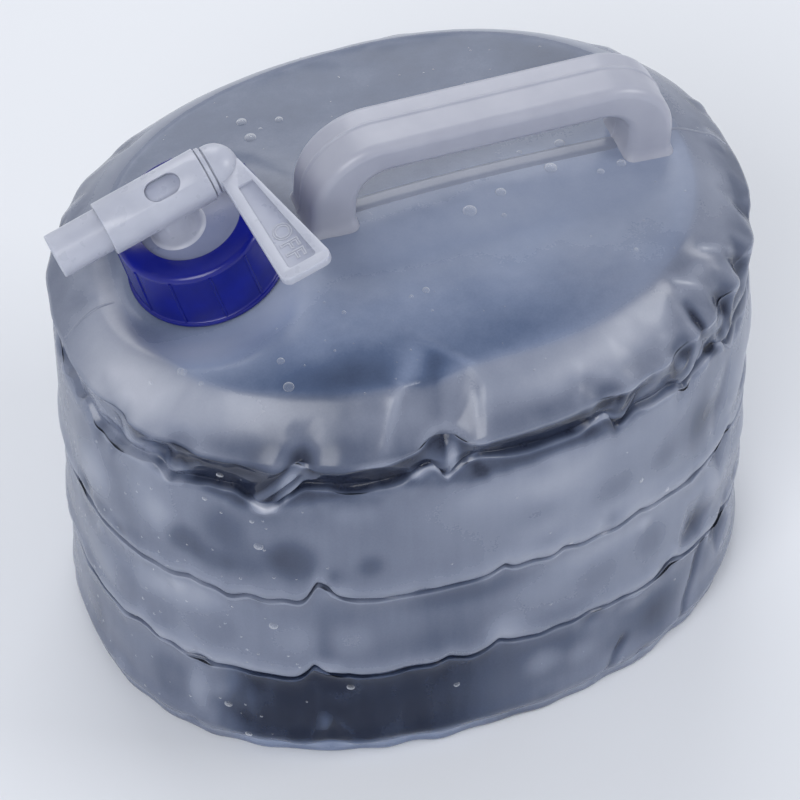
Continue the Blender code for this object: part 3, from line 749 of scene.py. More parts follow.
# Heights of the folds: arc and height
FOLD_HEIGHTS = {
    3: (
        (-378, 46), (-260, 47), (-200, 49), (-110, 48), (-74, 45.5), (-30, 48.5), (30, 49), (90, 45),
        (150, 42), (200, 42), (270, 45),
    ),
    2: (
        (-378, 93), (-150, 92.5), (-70, 92), (0, 92.5), (60, 92), (120, 89.5), (180, 88), (270, 91),
    ),
    1: (
        (-378, 150), (-170, 146), (-158, 145.1), (-149, 146.8), (-138, 148.7), (-132.6, 150.9), (-130, 149.4),
        (-127, 146.2), (-125, 145.2), (-117, 148.4), (-108.5, 149.9), (-99, 150.1), (-95, 147), (-91.8, 145),
        (-87, 143.8), (-83, 146.2), (-77.7, 150.2), (-73, 155.2), (-64, 154.8), (-59, 153.1), (-52, 153.2),
        (-44, 153.9), (-39.6, 154.5), (-35, 155.9), (-31, 159.2), (-28, 161.6), (-25.2, 161.6),
        (-22.8, 156.8), (-20.2, 152.2), (-17.2, 155.6), (-12.4, 159.2), (-8.1, 160.2), (-2.8, 158.2),
        (2, 156.6), (8, 155.4), (12, 154.8), (28, 155), (32, 154.9), (36.5, 156.6), (41.3, 159),
        (43.5, 158.8), (45.3, 153), (47, 149.9), (50.5, 150), (53.3, 151.2), (58, 152.2), (64, 151),
        (70.5, 150.2), (78.6, 149.2), (82.3, 146.2), (86.7, 149.6), (93.8, 151), (100.8, 151.5),
        (103.7, 150.9), (113.2, 142), (117, 143.6), (130, 144), (150, 146), (200, 150),
    ),
}

# How far the folds are drawn in: arc and inset
FOLD_INSETS = {
    3: (
        (-378, 4.6), (-150, 4.2), (-110, 3.2), (-40, 2.8), (40, 2.9), (90, 3.6), (130, 4.6), (200, 4.8),
    ),
    2: (
        (-378, 4.6), (-150, 4.2), (-110, 3.2), (-40, 2.7), (40, 2.7), (90, 3.6), (130, 4.6), (200, 4.8),
    ),
    1: (
        (-378, 6.2), (-150, 5.4), (-96, 6.2), (-87, 4), (-75, 5.6), (-57, 6), (-36, 5.8), (-27, 4.2),
        (-20, 3.6), (-10, 5), (10, 6.2), (34, 5.6), (43, 4.2), (49, 3.8), (60, 5.4), (76, 5.4), (82, 3.6),
        (92, 5.4), (104, 5), (113, 3.4), (125, 5.2), (150, 5.6), (250, 6.2),
    ),
}

# Where the strip under the top fold starts, which leans in and is clear film painted dark as shade: arc and
# height
STRIP_START = (
    (-378, 148), (-160, 143), (-133, 147.5), (-125, 143), (-113, 147), (-103, 144.8), (-95, 141.8),
    (-89, 141.6), (-82.6, 144.1), (-74, 147), (-64, 149.1), (-52, 150.6), (-45, 150.5), (-36, 153),
    (-27, 151.7), (-18.6, 149.4), (-10, 147.3), (-4, 148.4), (11, 148), (21, 149.3), (31, 149), (40, 148.7),
    (47, 146), (52, 148.2), (60, 149.5), (70, 148.3), (80, 147.2), (83, 145), (94, 148.5), (101, 149),
    (113, 140.5), (123, 141), (200, 147),
)

# How far the lip is lifted: arc and lift
LIP_SHIFT = (
    (-378, 0), (-135, 0), (-122, -0.8), (-105, 0), (-80, 0), (-74.5, 2.4), (-69, -0.2), (-60, 0), (-50, 0.8),
    (-40, 1.4), (-28, 0.6), (-12, 1), (0, 1.7), (12, 1.5), (24, 0.8), (33, 1.6), (45, -0.4), (60, 0),
    (200, 0),
)

# Patches pushed into the film: middle, corners, depth and, where given, power
TENTS = (
    # The big dent that runs from the crown over the shoulder to a notch in the lip
    ((-21, 172), ((-23, 218), (-5, 200), (0, 188), (-4, 176), (-8, 160), (-33, 160), (-46, 170), (-42, 181),
     (-39, 192), (-32, 208)), 5.6),
    # The foot of the tongue that crosses the top fold
    ((-88, 143.5), ((-97, 146), (-94, 141), (-86, 139), (-78, 144), (-86, 149)), -1.4),
    # The pinches at the right of the near side
    ((84, 176), ((72, 178), (84, 167), (96, 172), (92, 188)), 1.3),
    ((108, 171), ((98, 172), (106, 158), (120, 166), (116, 180), (104, 184)), 2),
    ((127, 170), ((118, 170), (126, 154), (138, 164), (136, 178), (124, 182)), 3.8),
    ((150, 166), ((140, 168), (150, 152), (162, 164), (154, 180)), 2.8),
    # Long facets at the lower right
    ((92, 60), ((80, 52), (96, 46), (106, 62), (98, 80), (86, 76)), 2.2),
    ((112, 40), ((102, 44), (110, 22), (122, 34), (118, 56)), 2.6),
    ((108, 84), ((98, 88), (108, 70), (120, 82), (116, 100)), 2.2),
    ((104, 118), ((92, 122), (102, 98), (118, 114), (112, 140)), 1.8),
    # The left side
    ((-128, 158), ((-140, 158), (-130, 148), (-114, 156), (-122, 168)), 2.4),
    ((-152, 150), ((-164, 152), (-154, 136), (-142, 148), (-150, 164)), 2),
    ((-106, 22), ((-118, 26), (-110, 8), (-94, 16), (-98, 40)), 1.5),
    # The row of pinches above one another left of the middle
    ((-66, 9), ((-78, 8), (-66, 2), (-54, 8), (-60, 15), (-67, 24), (-72, 14)), 2.6, 0.8),
    ((-66, 54), ((-76, 52), (-66, 48), (-58, 53), (-60, 60), (-70, 62)), -1.2),
)

# Soft hollows and bulges: arc, level, half arc, half level, depth and, where given, power
HOLLOWS = (
    # Beside the tongue
    (-74.5, 170, 4.6, 5.5, 3.4, 2.4), (-60, 168, 8, 6, -1.4), (-84, 168, 5, 5, -1),
    # Over the shoulder and at the left
    (38, 178, 9, 5, 1.2), (53, 170, 8, 6, -1), (112, 190, 10, 9, 1.2), (-118, 160, 6, 5, 1.6),
    # Bulges at both ends
    (118, 118, 15, 16, -2.4), (104, 74, 13, 12, -1.6), (134, 76, 13, 13, -2.2), (120, 30, 14, 12, -1.8),
    (150, 120, 13, 15, -2), (136, 102, 8, 6, 2), (-170, 118, 14, 14, -1.6), (-160, 70, 12, 12, -1.4),
    (-175, 100, 6, 5, 1.6),
)

# Stars of gathered film between the lip and the top fold: middle, corners, depth, and the lip's notch
STARS = (
    ((-20, 157), ((-26, 163), (-20, 151), (-13, 161), (-15, 169), (-24, 169)), -1, 6.6),
    ((45, 157), ((37, 160), (47, 149), (54, 158), (52, 167), (38, 167)), -1.4, 1.6),
    ((80, 155), ((73, 154), (82, 146), (90, 156), (87, 167), (75, 167)), -1.6, 2.6),
    ((109, 151), ((99, 153), (113, 142), (118, 152), (113, 165), (101, 167)), -1.6, 2.8),
    ((130, 153), ((121, 150), (131, 146), (140, 155), (135, 168), (125, 168)), -1.6, 2.4),
    ((-119, 154), ((-130, 152), (-118, 146.5), (-109, 155), (-114, 168), (-125, 168)), -1.5, 2),
    ((-147, 153), ((-158, 151), (-146, 145), (-137, 153), (-142, 168), (-153, 168)), -1.4, 1.8),
)

# Bands of seeded crumples: level, its spread, spacing, depth, reach
CRUMPLE_BANDS = (
    (158, 5, 25, 2.4, 10), (92, 4, 24, 1.25, 8), (46, 4, 24, 1.25, 8), (7, 3, 26, 1.1, 7),
    (148, 3, 31, 1.3, 8), (174, 4, 43, 1.4, 11),
)

# Creases: arc and level of the start and of the end, width, depth and, where given, power
PLEATS = (
    # Round the big dent
    (-25, 214, -40, 190, 2.2, -0.55), (-40, 190, -43, 174, 2, -0.6), (-22, 214, -5, 199, 1.8, -0.4),
    (-6, 186, -9, 170, 1.3, -0.6),
    # The tongue and the shoulder
    (90.5, 168, 93, 179, 1.7, 2), (-73, 168, -90, 147, 1.5, -2.6, 1.3), (-68, 164, -84, 147, 1.3, -1.8, 1.3),
    (-78, 167, -94, 150, 0.9, 0.9), (31, 172, 38, 182, 1.6, -0.5), (38, 182, 47, 176, 1.6, -0.5),
    (96, 188, 112, 170, 1.5, -0.8), (120, 186, 136, 166, 1.4, -1.4), (86, 8, 100, 42, 1.6, 1.8),
    (55, 22, 47, 8, 1.3, 1.8), (-128, 148, -112, 160, 1.3, -1.4), (-66, 10, -68, 24, 1.3, -1),
    (-80, 7, -67, 9, 1.3, -1.1), (-65, 9, -50, 7, 1.4, -1.1), (-66, 100, -62, 108, 1.6, 0.8),
    # On the stars
    (-27, 167, -23, 155, 1, -1.2), (-21, 155, -16, 166, 1, 1.2), (-15, 158, -9, 156, 1.2, 1),
    (-34, 159, -26, 154, 0.8, -0.8), (43, 150, 34, 165, 0.9, -1), (44, 150, 56, 160, 0.9, -1.2),
    (39, 159, 52, 154, 0.9, -1), (44, 158, 48, 166, 1, 1.2), (80, 149, 90, 164, 1, -1.2),
    (80, 149, 72, 164, 0.9, -1), (81, 157, 85, 166, 1.1, 1.2), (106, 147, 98, 164, 1, -1.2),
    (106, 147, 114, 162, 1, -1), (105, 156, 109, 166, 1.1, 1.2), (91, 166, 97, 152, 1.1, 0.9),
    (118, 165, 113, 150, 1.1, 0.9),
)

# Painted highlights and shade of the crown: middle x and y, reach in x and in y, change
CROWN_PAINTED_LIGHT = (
    (10, -24, 55, 12, 0.17), (-62, -54, 14, 9, 0.08), (76, -26, 14, 12, 0.08), (81, 48, 22, 14, -0.13),
    (-50, -72, 18, 8, -0.1),
)

# Painted highlights and shade of the shoulder: arc, level, half arc, half level, change
SHOULDER_PAINTED_LIGHT = (
    (-144, 178, 24, 10, 0.42), (-104, 177, 12, 6, 0.04), (-75, 178, 7, 8, 0.04), (-92, 184, 12, 5, -0.02),
    (-100, 172, 20, 4, -0.1), (-108, 169, 14, 2, 0.12), (26, 184, 26, 6, 0.02), (-175, 180, 20, 10, 0.1),
    (-58, 188, 22, 6, -0.13), (-115, 176, 10, 6, 0.07), (85, 187, 16, 7, -0.09), (148, 184, 14, 8, 0.05),
    (42, 181, 28, 6, 0.2), (66, 184, 18, 7, 0.16), (-82, 196, 26, 6, -0.1), (28, 172, 16, 4, -0.06),
)

# Facets of the gathered film with painted reflections, bright on some and dark on others: corners and change
FACET_PAINTED_REFLECTIONS = (
    (((-18.8, 169), (-13.6, 169), (-16.8, 158.5), (-20, 152.4), (-21, 158.5)), 0.45),
    (((-34, 156), (-29.4, 160), (-25, 161.6), (-23, 159.3), (-28.3, 157.2)), 0.5),
    (((36.7, 168.7), (41.5, 168), (43.2, 159), (40.5, 160.5)), -0.12),
    (((43.4, 159), (47.2, 167), (52, 156), (48, 154.6)), 0.1),
    (((43.5, 157.2), (48.8, 155.6), (48, 148), (45, 150.5)), -0.4),
    (((-9.8, 157), (-6.3, 156), (-4.2, 149.4), (-6.3, 147.5), (-9.6, 150.1)), -0.2),
    (((-85, 148), (-81.4, 160.4), (-76, 170), (-70.6, 167), (-71, 163), (-79.8, 146.6)), 0.42),
    (((-94.5, 143.6), (-90.3, 145.6), (-82.4, 147), (-81.6, 144), (-89.2, 141.6)), 0.5),
    (((-126.5, 148.5), (-120.7, 154), (-116.6, 148.6), (-119.7, 145.6), (-124.9, 144.6)), 0.25),
    (((-144, 166), (-138.6, 167), (-133.3, 166), (-135.4, 157), (-141.7, 155)), -0.3),
    (((70, 166.5), (73, 168), (78, 163), (81.2, 151), (79, 149.1), (71.6, 161.9)), -0.4),
    (((77.7, 168), (85.6, 166), (82.6, 161), (80.2, 158)), -0.3),
    (((91, 178), (94, 176), (92.4, 168.4), (90, 167.4), (89.6, 172)), -0.36),
    (((97, 152.4), (102.6, 152), (102.4, 148.4), (97, 149)), -0.4),
    (((107, 166), (112, 165), (114, 146), (111, 145)), -0.35),
    (((84, 152), (90, 166), (100, 166), (94, 153)), 0.2),
    (((52, 163), (56, 167), (70, 162), (72, 154), (58, 153.6)), 0.12),
)

# Painted highlights along the ridges where facets meet: arc and level of the start and of the end, change
RIDGE_HIGHLIGHTS = (
    (-20, 152.6, -14.7, 157, 0.3), (-20, 152.6, -14.2, 169, 0.3), (-20, 152.6, -27, 156, 0.3),
    (-14.7, 157, -7.5, 160.5, 0.3), (44, 158, 36, 168, 0.35), (44, 158, 47, 168, 0.35),
    (44, 158, 50, 155.6, 0.3), (44, 158, 32, 154.6, 0.35), (-92.4, 145, -75, 170, 0.3),
    (-80, 146.6, -70.4, 166, 0.3), (80.6, 149, 75, 167, 0.35), (81, 149, 88, 167, 0.35),
    (106, 150, 99, 166, 0.2), (113, 143, 104, 166, 0.2), (-127, 145, -131, 166, 0.2),
    (-117, 148, -125, 166, 0.15),
)

# Painted highlights and shade of the walls: arc, level, half arc, half level, change and, where given,
# how sharp the border is
WALL_PAINTED_LIGHT = (
    (-155, 124, 22, 18, -0.13), (23, 130, 24, 14, 0.08), (86, 125, 14, 16, -0.1), (-143, 76, 16, 14, -0.08),
    (-58, 82, 12, 9, -0.06), (34, 77, 16, 10, 0.09), (-141, 41, 14, 10, 0.07), (26, 33, 12, 14, -0.22),
    (-64, 129, 12, 8, 0.05), (-134, 150, 14, 10, 0.14), (28, 55, 14, 6, -0.14), (12, 74, 10, 8, 0.1),
    (-118, 26, 18, 8, 0.1), (-25, 62, 32, 8, -0.09), (-78, 116, 9, 11, -0.24, 5), (-49, 112, 5, 5, -0.22, 3),
    (-108, 110, 9, 6, -0.22, 4), (-120, 116, 9, 8, -0.26, 4), (-96, 108, 8, 7, -0.12, 3),
    (-130, 122, 7, 9, 0.2, 3), (-133, 66, 9, 10, -0.1, 5), (-150, 68, 8, 10, -0.1, 5),
    (-112, 70, 12, 12, -0.09, 6), (-131, 28, 9, 12, -0.12, 5), (-118, 28, 4, 12, 0.14, 4),
    (-77, 69, 9, 9, 0.12, 3), (-58, 69, 9, 9, 0.12, 3), (-67, 70, 4, 8, -0.12, 2), (2, 60, 8, 8, 0.22, 3),
    (19, 31, 8, 7, 0.24, 3), (34, 28, 7, 6, 0.16, 3), (93, 120, 7, 11, -0.16, 3), (71, 118, 7, 8, -0.14, 3),
    (46, 116, 10, 8, -0.12, 4), (17, 120, 6, 5, -0.08, 3), (66, 73, 9, 9, -0.12, 4), (40, 71, 10, 8, -0.1, 4),
    (74, 26, 10, 14, -0.2, 3), (92, 60, 9, 12, -0.22, 3), (112, 40, 8, 12, -0.16, 3),
    (52, 22, 6, 6, -0.14, 3), (-140, 128, 12, 12, 0.16, 3), (-163, 124, 10, 10, 0.12, 3),
    (-120, 84, 13, 8, 0.2, 3), (-104, 128, 9, 12, -0.2, 3), (-92, 116, 10, 9, -0.14, 3),
    (-136, 80, 10, 7, 0.14, 3), (22, 138, 34, 9, 0.12, 3), (52, 104, 22, 8, 0.08, 3),
    (92, 112, 9, 12, -0.12, 3), (63, 28, 12, 9, -0.1, 3), (98, 33, 8, 10, -0.1, 3),
    (16, 120, 14, 6, -0.05, 3), (44, 86, 26, 5, 0.14, 3), (-8, 86, 30, 6, -0.12, 3),
    (44, 132, 12, 4, -0.07, 4), (-165, 120, 10, 14, 0.12, 3), (-180, 90, 9, 12, -0.14, 4),
    (-145, 100, 8, 6, -0.1, 3),
)


# The film body

class Part(Enum):
    """The body's pieces, from the base up, each with the CAD node that it stands for."""

    BASE = "base_panel"
    TIER_4 = "tier_4"
    TIER_3 = "tier_3"
    TIER_2 = "tier_2"
    TIER_1 = "tier_1"
    TOP = "top_panel"


@dataclass(frozen=True)
class Fold:
    """How a tier of the body moves: its CAD body, its joint, and the heights between which it flattens."""

    body: str
    joint: str | None = None
    anchor: float = 0.0
    keep: float = 1.0


FOLDS = {
    Part.BASE: Fold("base"),
    Part.TIER_4: Fold("base", "fold_tier_4", 5.0, 5.0 / 40.0),
    Part.TIER_3: Fold("waist_3", "fold_tier_3", 45.0, 5.0 / 48.0),
    Part.TIER_2: Fold("waist_2", "fold_tier_2", 93.0, 6.0 / 57.0),
    Part.TIER_1: Fold("waist_1", "fold_tier_1", 150.0, 1.0 / 13.0),
    Part.TOP: Fold("top"),
}


@dataclass
class FilmBody:
    """The blow-moulded film body: one skin as a grid of rows and columns, cut into pieces that move apart."""

    half_length: float = 132.0
    half_width: float = 102.7
    power: float = 2.24
    columns: int = 720
    wall: float = 0.6
    base_edge: float = 5.0
    base_rows: tuple[float, ...] = (0.0, 0.12, 0.3, 0.5, 0.68, 0.82, 0.9)
    base_round: Point2 = (3.6, 2.2)
    tuck: float = 3.0
    lip: float = 168.5
    lip_shape: tuple[Point2, ...] = (
        (0.3, 0.68), (0.55, 0.4), (0.75, 0.17), (0.88, 0.06), (0.95, 0.01), (1.0, 0.0))
    lip_lean: float = 2.2 / 130.0
    seam: float = 163.0
    tier_rows: int = 30
    ledge_rows: int = 7
    under_rows: int = 16
    strip_lean: float = 1.6
    shoulder_rows: int = 22
    crown_rows: int = 37
    panel_rise: float = 19.0
    crown_rise: float = 9.5
    hole_radius: float = 23.5
    roll: float = 1.0
    seed: int = 11

    def __post_init__(self) -> None:
        """Spaces the columns evenly round the outline."""
        dense = np.linspace(0.0, FULL_TURN, 28801)
        x, y = self._oval(dense)
        run = np.concatenate([[0.0], np.cumsum(np.hypot(np.diff(x), np.diff(y)))])
        self.length = float(run[-1])
        near = float(np.interp(0.75 * FULL_TURN, dense, run))
        self.arc = -self.length / 2.0 + self.length * np.arange(self.columns) / self.columns
        self.turn = np.interp((self.arc + near) % self.length, run, dense)
        self._run, self._dense, self._near = run, dense, near
        self.rim = np.stack(self._oval(self.turn), 1)
        ahead = np.roll(self.rim, -1, 0) - np.roll(self.rim, 1, 0)
        self.out = np.stack([ahead[:, 1], -ahead[:, 0]], 1)
        self.out /= np.linalg.norm(self.out, axis=1, keepdims=True)

    def _oval(self, turn: Array) -> tuple[Array, Array]:
        """The outline's points at angles of its rule."""
        c, s = np.cos(turn), np.sin(turn)
        x = self.half_length * np.sign(c) * np.abs(c) ** (2.0 / self.power)
        y = self.half_width * np.sign(s) * np.abs(s) ** (2.0 / self.power)
        return x, y

    def share(self, x: Array, y: Array) -> Array:
        """How far points lie from the middle, as a share of the way to the outline."""
        total = np.abs(x / self.half_length) ** self.power + np.abs(y / self.half_width) ** self.power
        return total ** (1.0 / self.power)

    def arc_of(self, x: Array, y: Array) -> Array:
        """The outline's arc in the direction of points on the top."""
        c = np.sign(x) * np.abs(x / self.half_length) ** (self.power / 2.0)
        s = np.sign(y) * np.abs(y / self.half_width) ** (self.power / 2.0)
        run = np.interp(np.arctan2(s, c) % FULL_TURN, self._dense, self._run)
        return round_from(run, self._near, self.length)

    def edge_share(self, arc: Array) -> Array:
        """Where the crown ends and the shoulder starts, as a share of the way to the outline."""
        return 0.82 + 0.035 * hump(arc, -122, 34) - 0.03 * hump(arc, 2, 30)

    def top_height(self, x: Array, y: Array) -> Array:
        """The undented height of the top: crown, sloping shoulder and the neck's leaning boss."""
        share = self.share(x, y)
        edge = self.edge_share(self.arc_of(x, y))
        run = np.clip((share - edge) / (1.0 - edge), 0.0, 1.0)
        crown = self.panel_rise + self.crown_rise * (1.0 - np.minimum(share / edge, 1.0) ** 2) * 0.9
        shoulder = self.panel_rise * (1.0 - run ** 1.3)
        high = self.lip + 0.9 + np.where(share <= edge, crown, shoulder) + self.lip_lean * x * share ** 2
        normal = np.array(PLACES.neck.col[2][:3])
        seat = np.array([PLACES.neck_x, 0.0, PLACES.seat_z]) - 0.8 * normal
        plane = seat[2] - ((x - seat[0]) * normal[0] + (y - seat[1]) * normal[1]) / normal[2]
        away = np.hypot((x - PLACES.neck_x) / math.cos(math.radians(PLACES.lean)), y)
        blend = np.clip((away - 32.0) / 22.0, 0.0, 1.0)
        blend = blend * blend * (3.0 - 2.0 * blend)
        return plane * (1.0 - blend) + high * blend

    def _line(self, points: Sequence[Point2], blur: float) -> Array:
        """A smooth closed line of values at the columns.

        Args:
            points: (arc, value) pairs.
            blur: the smoothing's half width in millimetres.

        Returns:
            A value for each column.
        """
        xs, ys = np.array(points, float).T
        raw = np.interp(self.arc, xs, ys, period=self.length)
        waves = np.fft.rfftfreq(self.columns, d=self.length / self.columns)
        return np.fft.irfft(np.fft.rfft(raw) * np.exp(-2.0 * (math.pi * blur * waves) ** 2), self.columns)

    def _waves(self, step: int, size: float, shortest: float, longest: float) -> Array:
        """Gentle waves at the columns.

        Args:
            step: what is added to the body's seed.
            size: the greatest wave's height.
            shortest: the shortest wavelength in millimetres.
            longest: the longest one.

        Returns:
            A value for each column.
        """
        rng = np.random.default_rng(self.seed + step)
        total = np.zeros(self.columns)
        for order in range(math.ceil(self.length / longest), int(self.length / shortest) + 1):
            height = rng.normal()
            start = rng.uniform(0.0, FULL_TURN)
            total += height * np.cos(FULL_TURN * order * self.arc / self.length + start)
        return total * (size / float(np.abs(total).max()))

    def fold_lines(self) -> dict[int, Line]:
        """Height and inset of the three drawn-in folds, numbered from the top, at each column."""
        lines = {}
        for number, points in FOLD_HEIGHTS.items():
            # The top fold is traced closely on the near side, so that it wanders only round the back
            traced = number == 1
            away = np.maximum(np.abs(self.arc + 20.0) - 110.0, 0.0)
            seen = hump(away, 0.0, 30.0) if traced else 0.0
            wander = self._waves(number, 2.2 if traced else 1.3, 12.0, 70.0)
            height = self._line(points, 1.0 if traced else 9.0) + wander * (1.0 - seen)
            inset = self._line(FOLD_INSETS[number], 2.0 if traced else 6.0)
            inset += self._waves(20 + number, 0.6, 15.0, 60.0)
            for row in KINKS[number]:
                kink = Kink(*row)
                near = kink.near(self.arc)
                height += kink.rise * near
                inset += kink.inset * near
            lines[number] = (np.minimum(height, self.seam - 1.6), inset)
        return lines

    def _tier(self, low: Line, high: Line, belly: float, reach: float, drop: Array,
              strip: Array | None) -> list[Line]:
        """Rows of one tier: a tight roll out of the lower fold, a wall, a crisp corner and a ledge.

        Args:
            low: height and inset of the lower fold.
            high: height and inset of the upper fold.
            belly: the wall's inset.
            reach: how fast the roll comes out of the lower fold, in millimetres.
            drop: how far the corner lies below the upper fold.
            strip: the height above which the wall leans in, if it does.

        Returns:
            Height and inset of each row above the lower fold, the upper fold among them.
        """
        rows = []
        corner = high[0] - drop
        for step in range(1, self.tier_rows + 1):
            share = 0.5 - 0.5 * math.cos(math.pi * step / self.tier_rows)
            height = low[0] + (corner - low[0]) * share
            up, down = height - low[0], corner - height
            inset = belly + (low[1] - belly) * np.exp(-(up / reach) ** 1.3)
            inset -= self.roll * hump(up, 6.0, 4.0) * (1.0 - hump(up, 0.0, 1.5))
            if strip is None:
                inset += 0.5 * hump(down, 8.0, 6.0) - 0.4 * hump(down, 0.0, 2.5)
            else:
                lean = np.clip((height - strip) / np.maximum(corner - strip, 2.5), 0.0, 1.0)
                inset += self.strip_lean * lean ** 1.2
            rows.append((height, inset))
        edge = rows[-1][1]
        inner = np.maximum(high[1], edge + 0.5)
        for step in range(1, self.ledge_rows + 1):
            share = step / self.ledge_rows
            rows.append((corner + drop * share ** 1.1, edge + (inner - edge) * share ** 0.9))
        return rows

    def marks(self) -> list[Tent | Swell | Pleat]:
        """All that is pressed into the film: the near side's own dents, then seeded crumples all round."""
        marks: list[Tent | Swell | Pleat] = [Tent(*row) for row in TENTS]
        marks += [Swell(*row) for row in HOLLOWS] + [Pleat(*row) for row in PLEATS]
        for middle, corners, depth, notch in STARS:
            marks.append(Tent(middle, corners, depth))
            marks.append(Swell(middle[0] - 1.0, 169.0, 6.5, 5.0, notch, 3.0))
        rng = np.random.default_rng(self.seed)
        for level, spread, spacing, depth, reach in CRUMPLE_BANDS:
            arc = -self.length / 2.0 + rng.uniform(0.0, spacing)
            while arc < self.length / 2.0:
                size = reach * rng.uniform(0.7, 1.3)
                middle = (arc, level + rng.normal() * spread)
                sides = int(rng.integers(4, 7))
                start = rng.uniform(0.0, FULL_TURN)
                corners = []
                for i in range(sides):
                    turn = start + FULL_TURN * (i + rng.uniform(-0.2, 0.2)) / sides
                    far = size * rng.uniform(0.8, 1.2)
                    corners.append((arc + far * math.cos(turn), middle[1] + 0.9 * far * math.sin(turn)))
                sign = 1.0 if rng.uniform() < 0.62 else -0.7
                calm = 0.35 if -55.0 < arc < 35.0 or -105.0 < arc < -70.0 else 1.0
                marks.append(Tent(middle, tuple(corners), sign * calm * depth * rng.uniform(0.6, 1.2)))
                arc += spacing * rng.uniform(0.6, 1.4)
        return marks

    def build_grid(self) -> None:
        """Fills the grid of rows and columns with places, normals, and milkiness with painted light in it."""
        places: list[Array] = []

        def add_row(flat: Array, height: Array | float) -> None:
            places.append(np.concatenate([flat, np.broadcast_to(height, (self.columns,))[:, None]], 1))

        def add_wall(height: Array | float, inset: Array) -> None:
            add_row(self.rim - self.out * inset[:, None], height)

        folds = self.fold_lines()
        tuck = self.tuck + self._waves(41, 1.0, 16.0, 80.0)
        level_line = (np.full(self.columns, self.base_edge), tuck)
        # Base: a flat bottom and its rounded edge
        for share in self.base_rows:
            add_row(self.rim * share, 0.25 * share * (1.0 - share))
        for step in range(8):
            turn = QUARTER_TURN * step / 7
            rise, draw = self.base_round
            add_wall(rise * (1.0 - math.cos(turn)), tuck + draw * (1.0 - math.sin(turn)))
        add_wall(*level_line)
        self.base_last = len(places) - 1
        # Tiers
        lines = [level_line, folds[3], folds[2], folds[1]]
        self.strip = self._line(STRIP_START, 1.5)
        self.drops = {number: size + self._waves(60 + number, 0.3, 14.0, 60.0)
                      for number, size in ((1, 1.1), (2, 0.6), (3, 0.6))}
        shapes = ((1.9, 3.0, 3, None), (1.6, 1.0, 2, None), (1.3, 1.0, 1, self.strip))
        for (belly, reach, number, strip), low, high in zip(shapes, lines, lines[1:]):
            for row in self._tier(low, high, belly, reach, self.drops[number], strip):
                add_wall(*row)
        # The lip's underside up to the seam, which is level
        height, inset = folds[1]
        seam_inset = inset * (self.lip - self.seam) / (self.lip - height)
        for step in range(1, self.under_rows + 1):
            share = (step / self.under_rows) ** 1.25
            add_wall(height + (self.seam - height) * share, seam_inset + (inset - seam_inset) * (1.0 - share))
        top_row = len(places) - 1
        # The lip's rounded edge, the shoulder and the crown
        wave = self._waves(51, 0.9, 20.0, 60.0) + 0.4
        lift = self._waves(31, 0.7, 20.0, 90.0) + self._line(LIP_SHIFT, 2.0)
        lip = self.lip + self.lip_lean * self.rim[:, 0] + lift
        for share, inset_share in self.lip_shape:
            add_wall(self.seam + (lip - self.seam) * share, inset_share * seam_inset + wave * share)
        self.shoulder_first = len(places)
        edge = self.edge_share(self.arc)
        for step in range(1, self.shoulder_rows + 1):
            run = (step / self.shoulder_rows) ** 1.25
            left = 1.0 - min(1.0, run / 0.35)
            flat = self.rim * (1.0 - (1.0 - edge) * run)[:, None]
            add_row(flat - self.out * (wave * left)[:, None], self.top_height(*flat.T) + lift * left)
        oval = self.rim * edge[:, None]
        circle = self.hole_radius * np.stack([np.cos(self.turn), np.sin(self.turn)], 1)
        circle = circle * (math.cos(math.radians(PLACES.lean)), 1.0) + (PLACES.neck_x, 0.0)
        for step in range(1, self.crown_rows + 1):
            flat = oval + (circle - oval) * (step / self.crown_rows)
            add_row(flat, self.top_height(*flat.T))
        grid = np.array(places)
        arc = np.broadcast_to(self.arc, grid.shape[:2]).copy()
        level = grid[..., 2].copy()
        top = slice(self.shoulder_first, None)
        level[top] = LIP_LEVEL + LEVEL_PER_SHARE * (1.0 - self.share(grid[top, :, 0], grid[top, :, 1]))
        arc[top] = self.arc_of(grid[top, :, 0], grid[top, :, 1])
        push = sum(mark.depth_at(arc, level, self.length) for mark in self.marks())
        # The base and the film round the neck stay smooth
        push[:self.base_last] = 0.0
        push[:self.shoulder_first] *= np.clip((level[:self.shoulder_first] - 2.0) / 4.0, 0.0, 1.0)
        push *= np.clip((np.hypot(grid[..., 0] - PLACES.neck_x, grid[..., 1]) - 34.0) / 10.0, 0.0, 1.0)
        push = self._blurred(push, 1)
        # How far the film stands out of its surroundings: later it brightens ridges, partly as stress
        # whitening and partly as painted highlight, and darkens hollows as painted shade
        self.ridge = self._blurred(push, 10) - push
        grid -= self._normals(grid) * push[..., None]
        self.grid, self.arcs, self.levels, self.top_row = grid, arc, level, top_row
        self.normals = self._normals(grid)
        self.milk, self.cool = self._tones(folds)

    @staticmethod
    def _blurred(values: Array, times: int) -> Array:
        """Softens a grid of values between neighbours, round the columns and along the rows."""
        for _ in range(times):
            values = (np.roll(values, 1, 1) + 2.0 * values + np.roll(values, -1, 1)) / 4.0
            padded = np.concatenate([values[:1], values, values[-1:]])
            values = (padded[:-2] + 2.0 * values + padded[2:]) / 4.0
        return values

    @staticmethod
    def _normals(grid: Array) -> Array:
        """Outward normals of the skin."""
        along = np.roll(grid, -1, 1) - np.roll(grid, 1, 1)
        padded = np.concatenate([grid[:1], grid, grid[-1:]])
        along[0] = along[1]
        normal = np.cross(along, padded[2:] - padded[:-2])
        normal /= np.maximum(np.linalg.norm(normal, axis=2, keepdims=True), 1e-9)
        normal[0] = (0.0, 0.0, -1.0)
        return normal

    def _sum_of(self, marks: Iterable[Tent | Swell | Pleat]) -> Array:
        """What marks add up to at each place of the grid."""
        return sum(mark.depth_at(self.arcs, self.levels, self.length) for mark in marks)

    def _top_tones(self) -> tuple[Array, Array]:
        """Milkiness with painted highlights and shade, and blueness, of the crown and of the shoulder round
        it.
        """
        arc, x, y = self.arcs, self.grid[..., 0], self.grid[..., 1]
        share, edge = self.share(x, y), self.edge_share(arc)
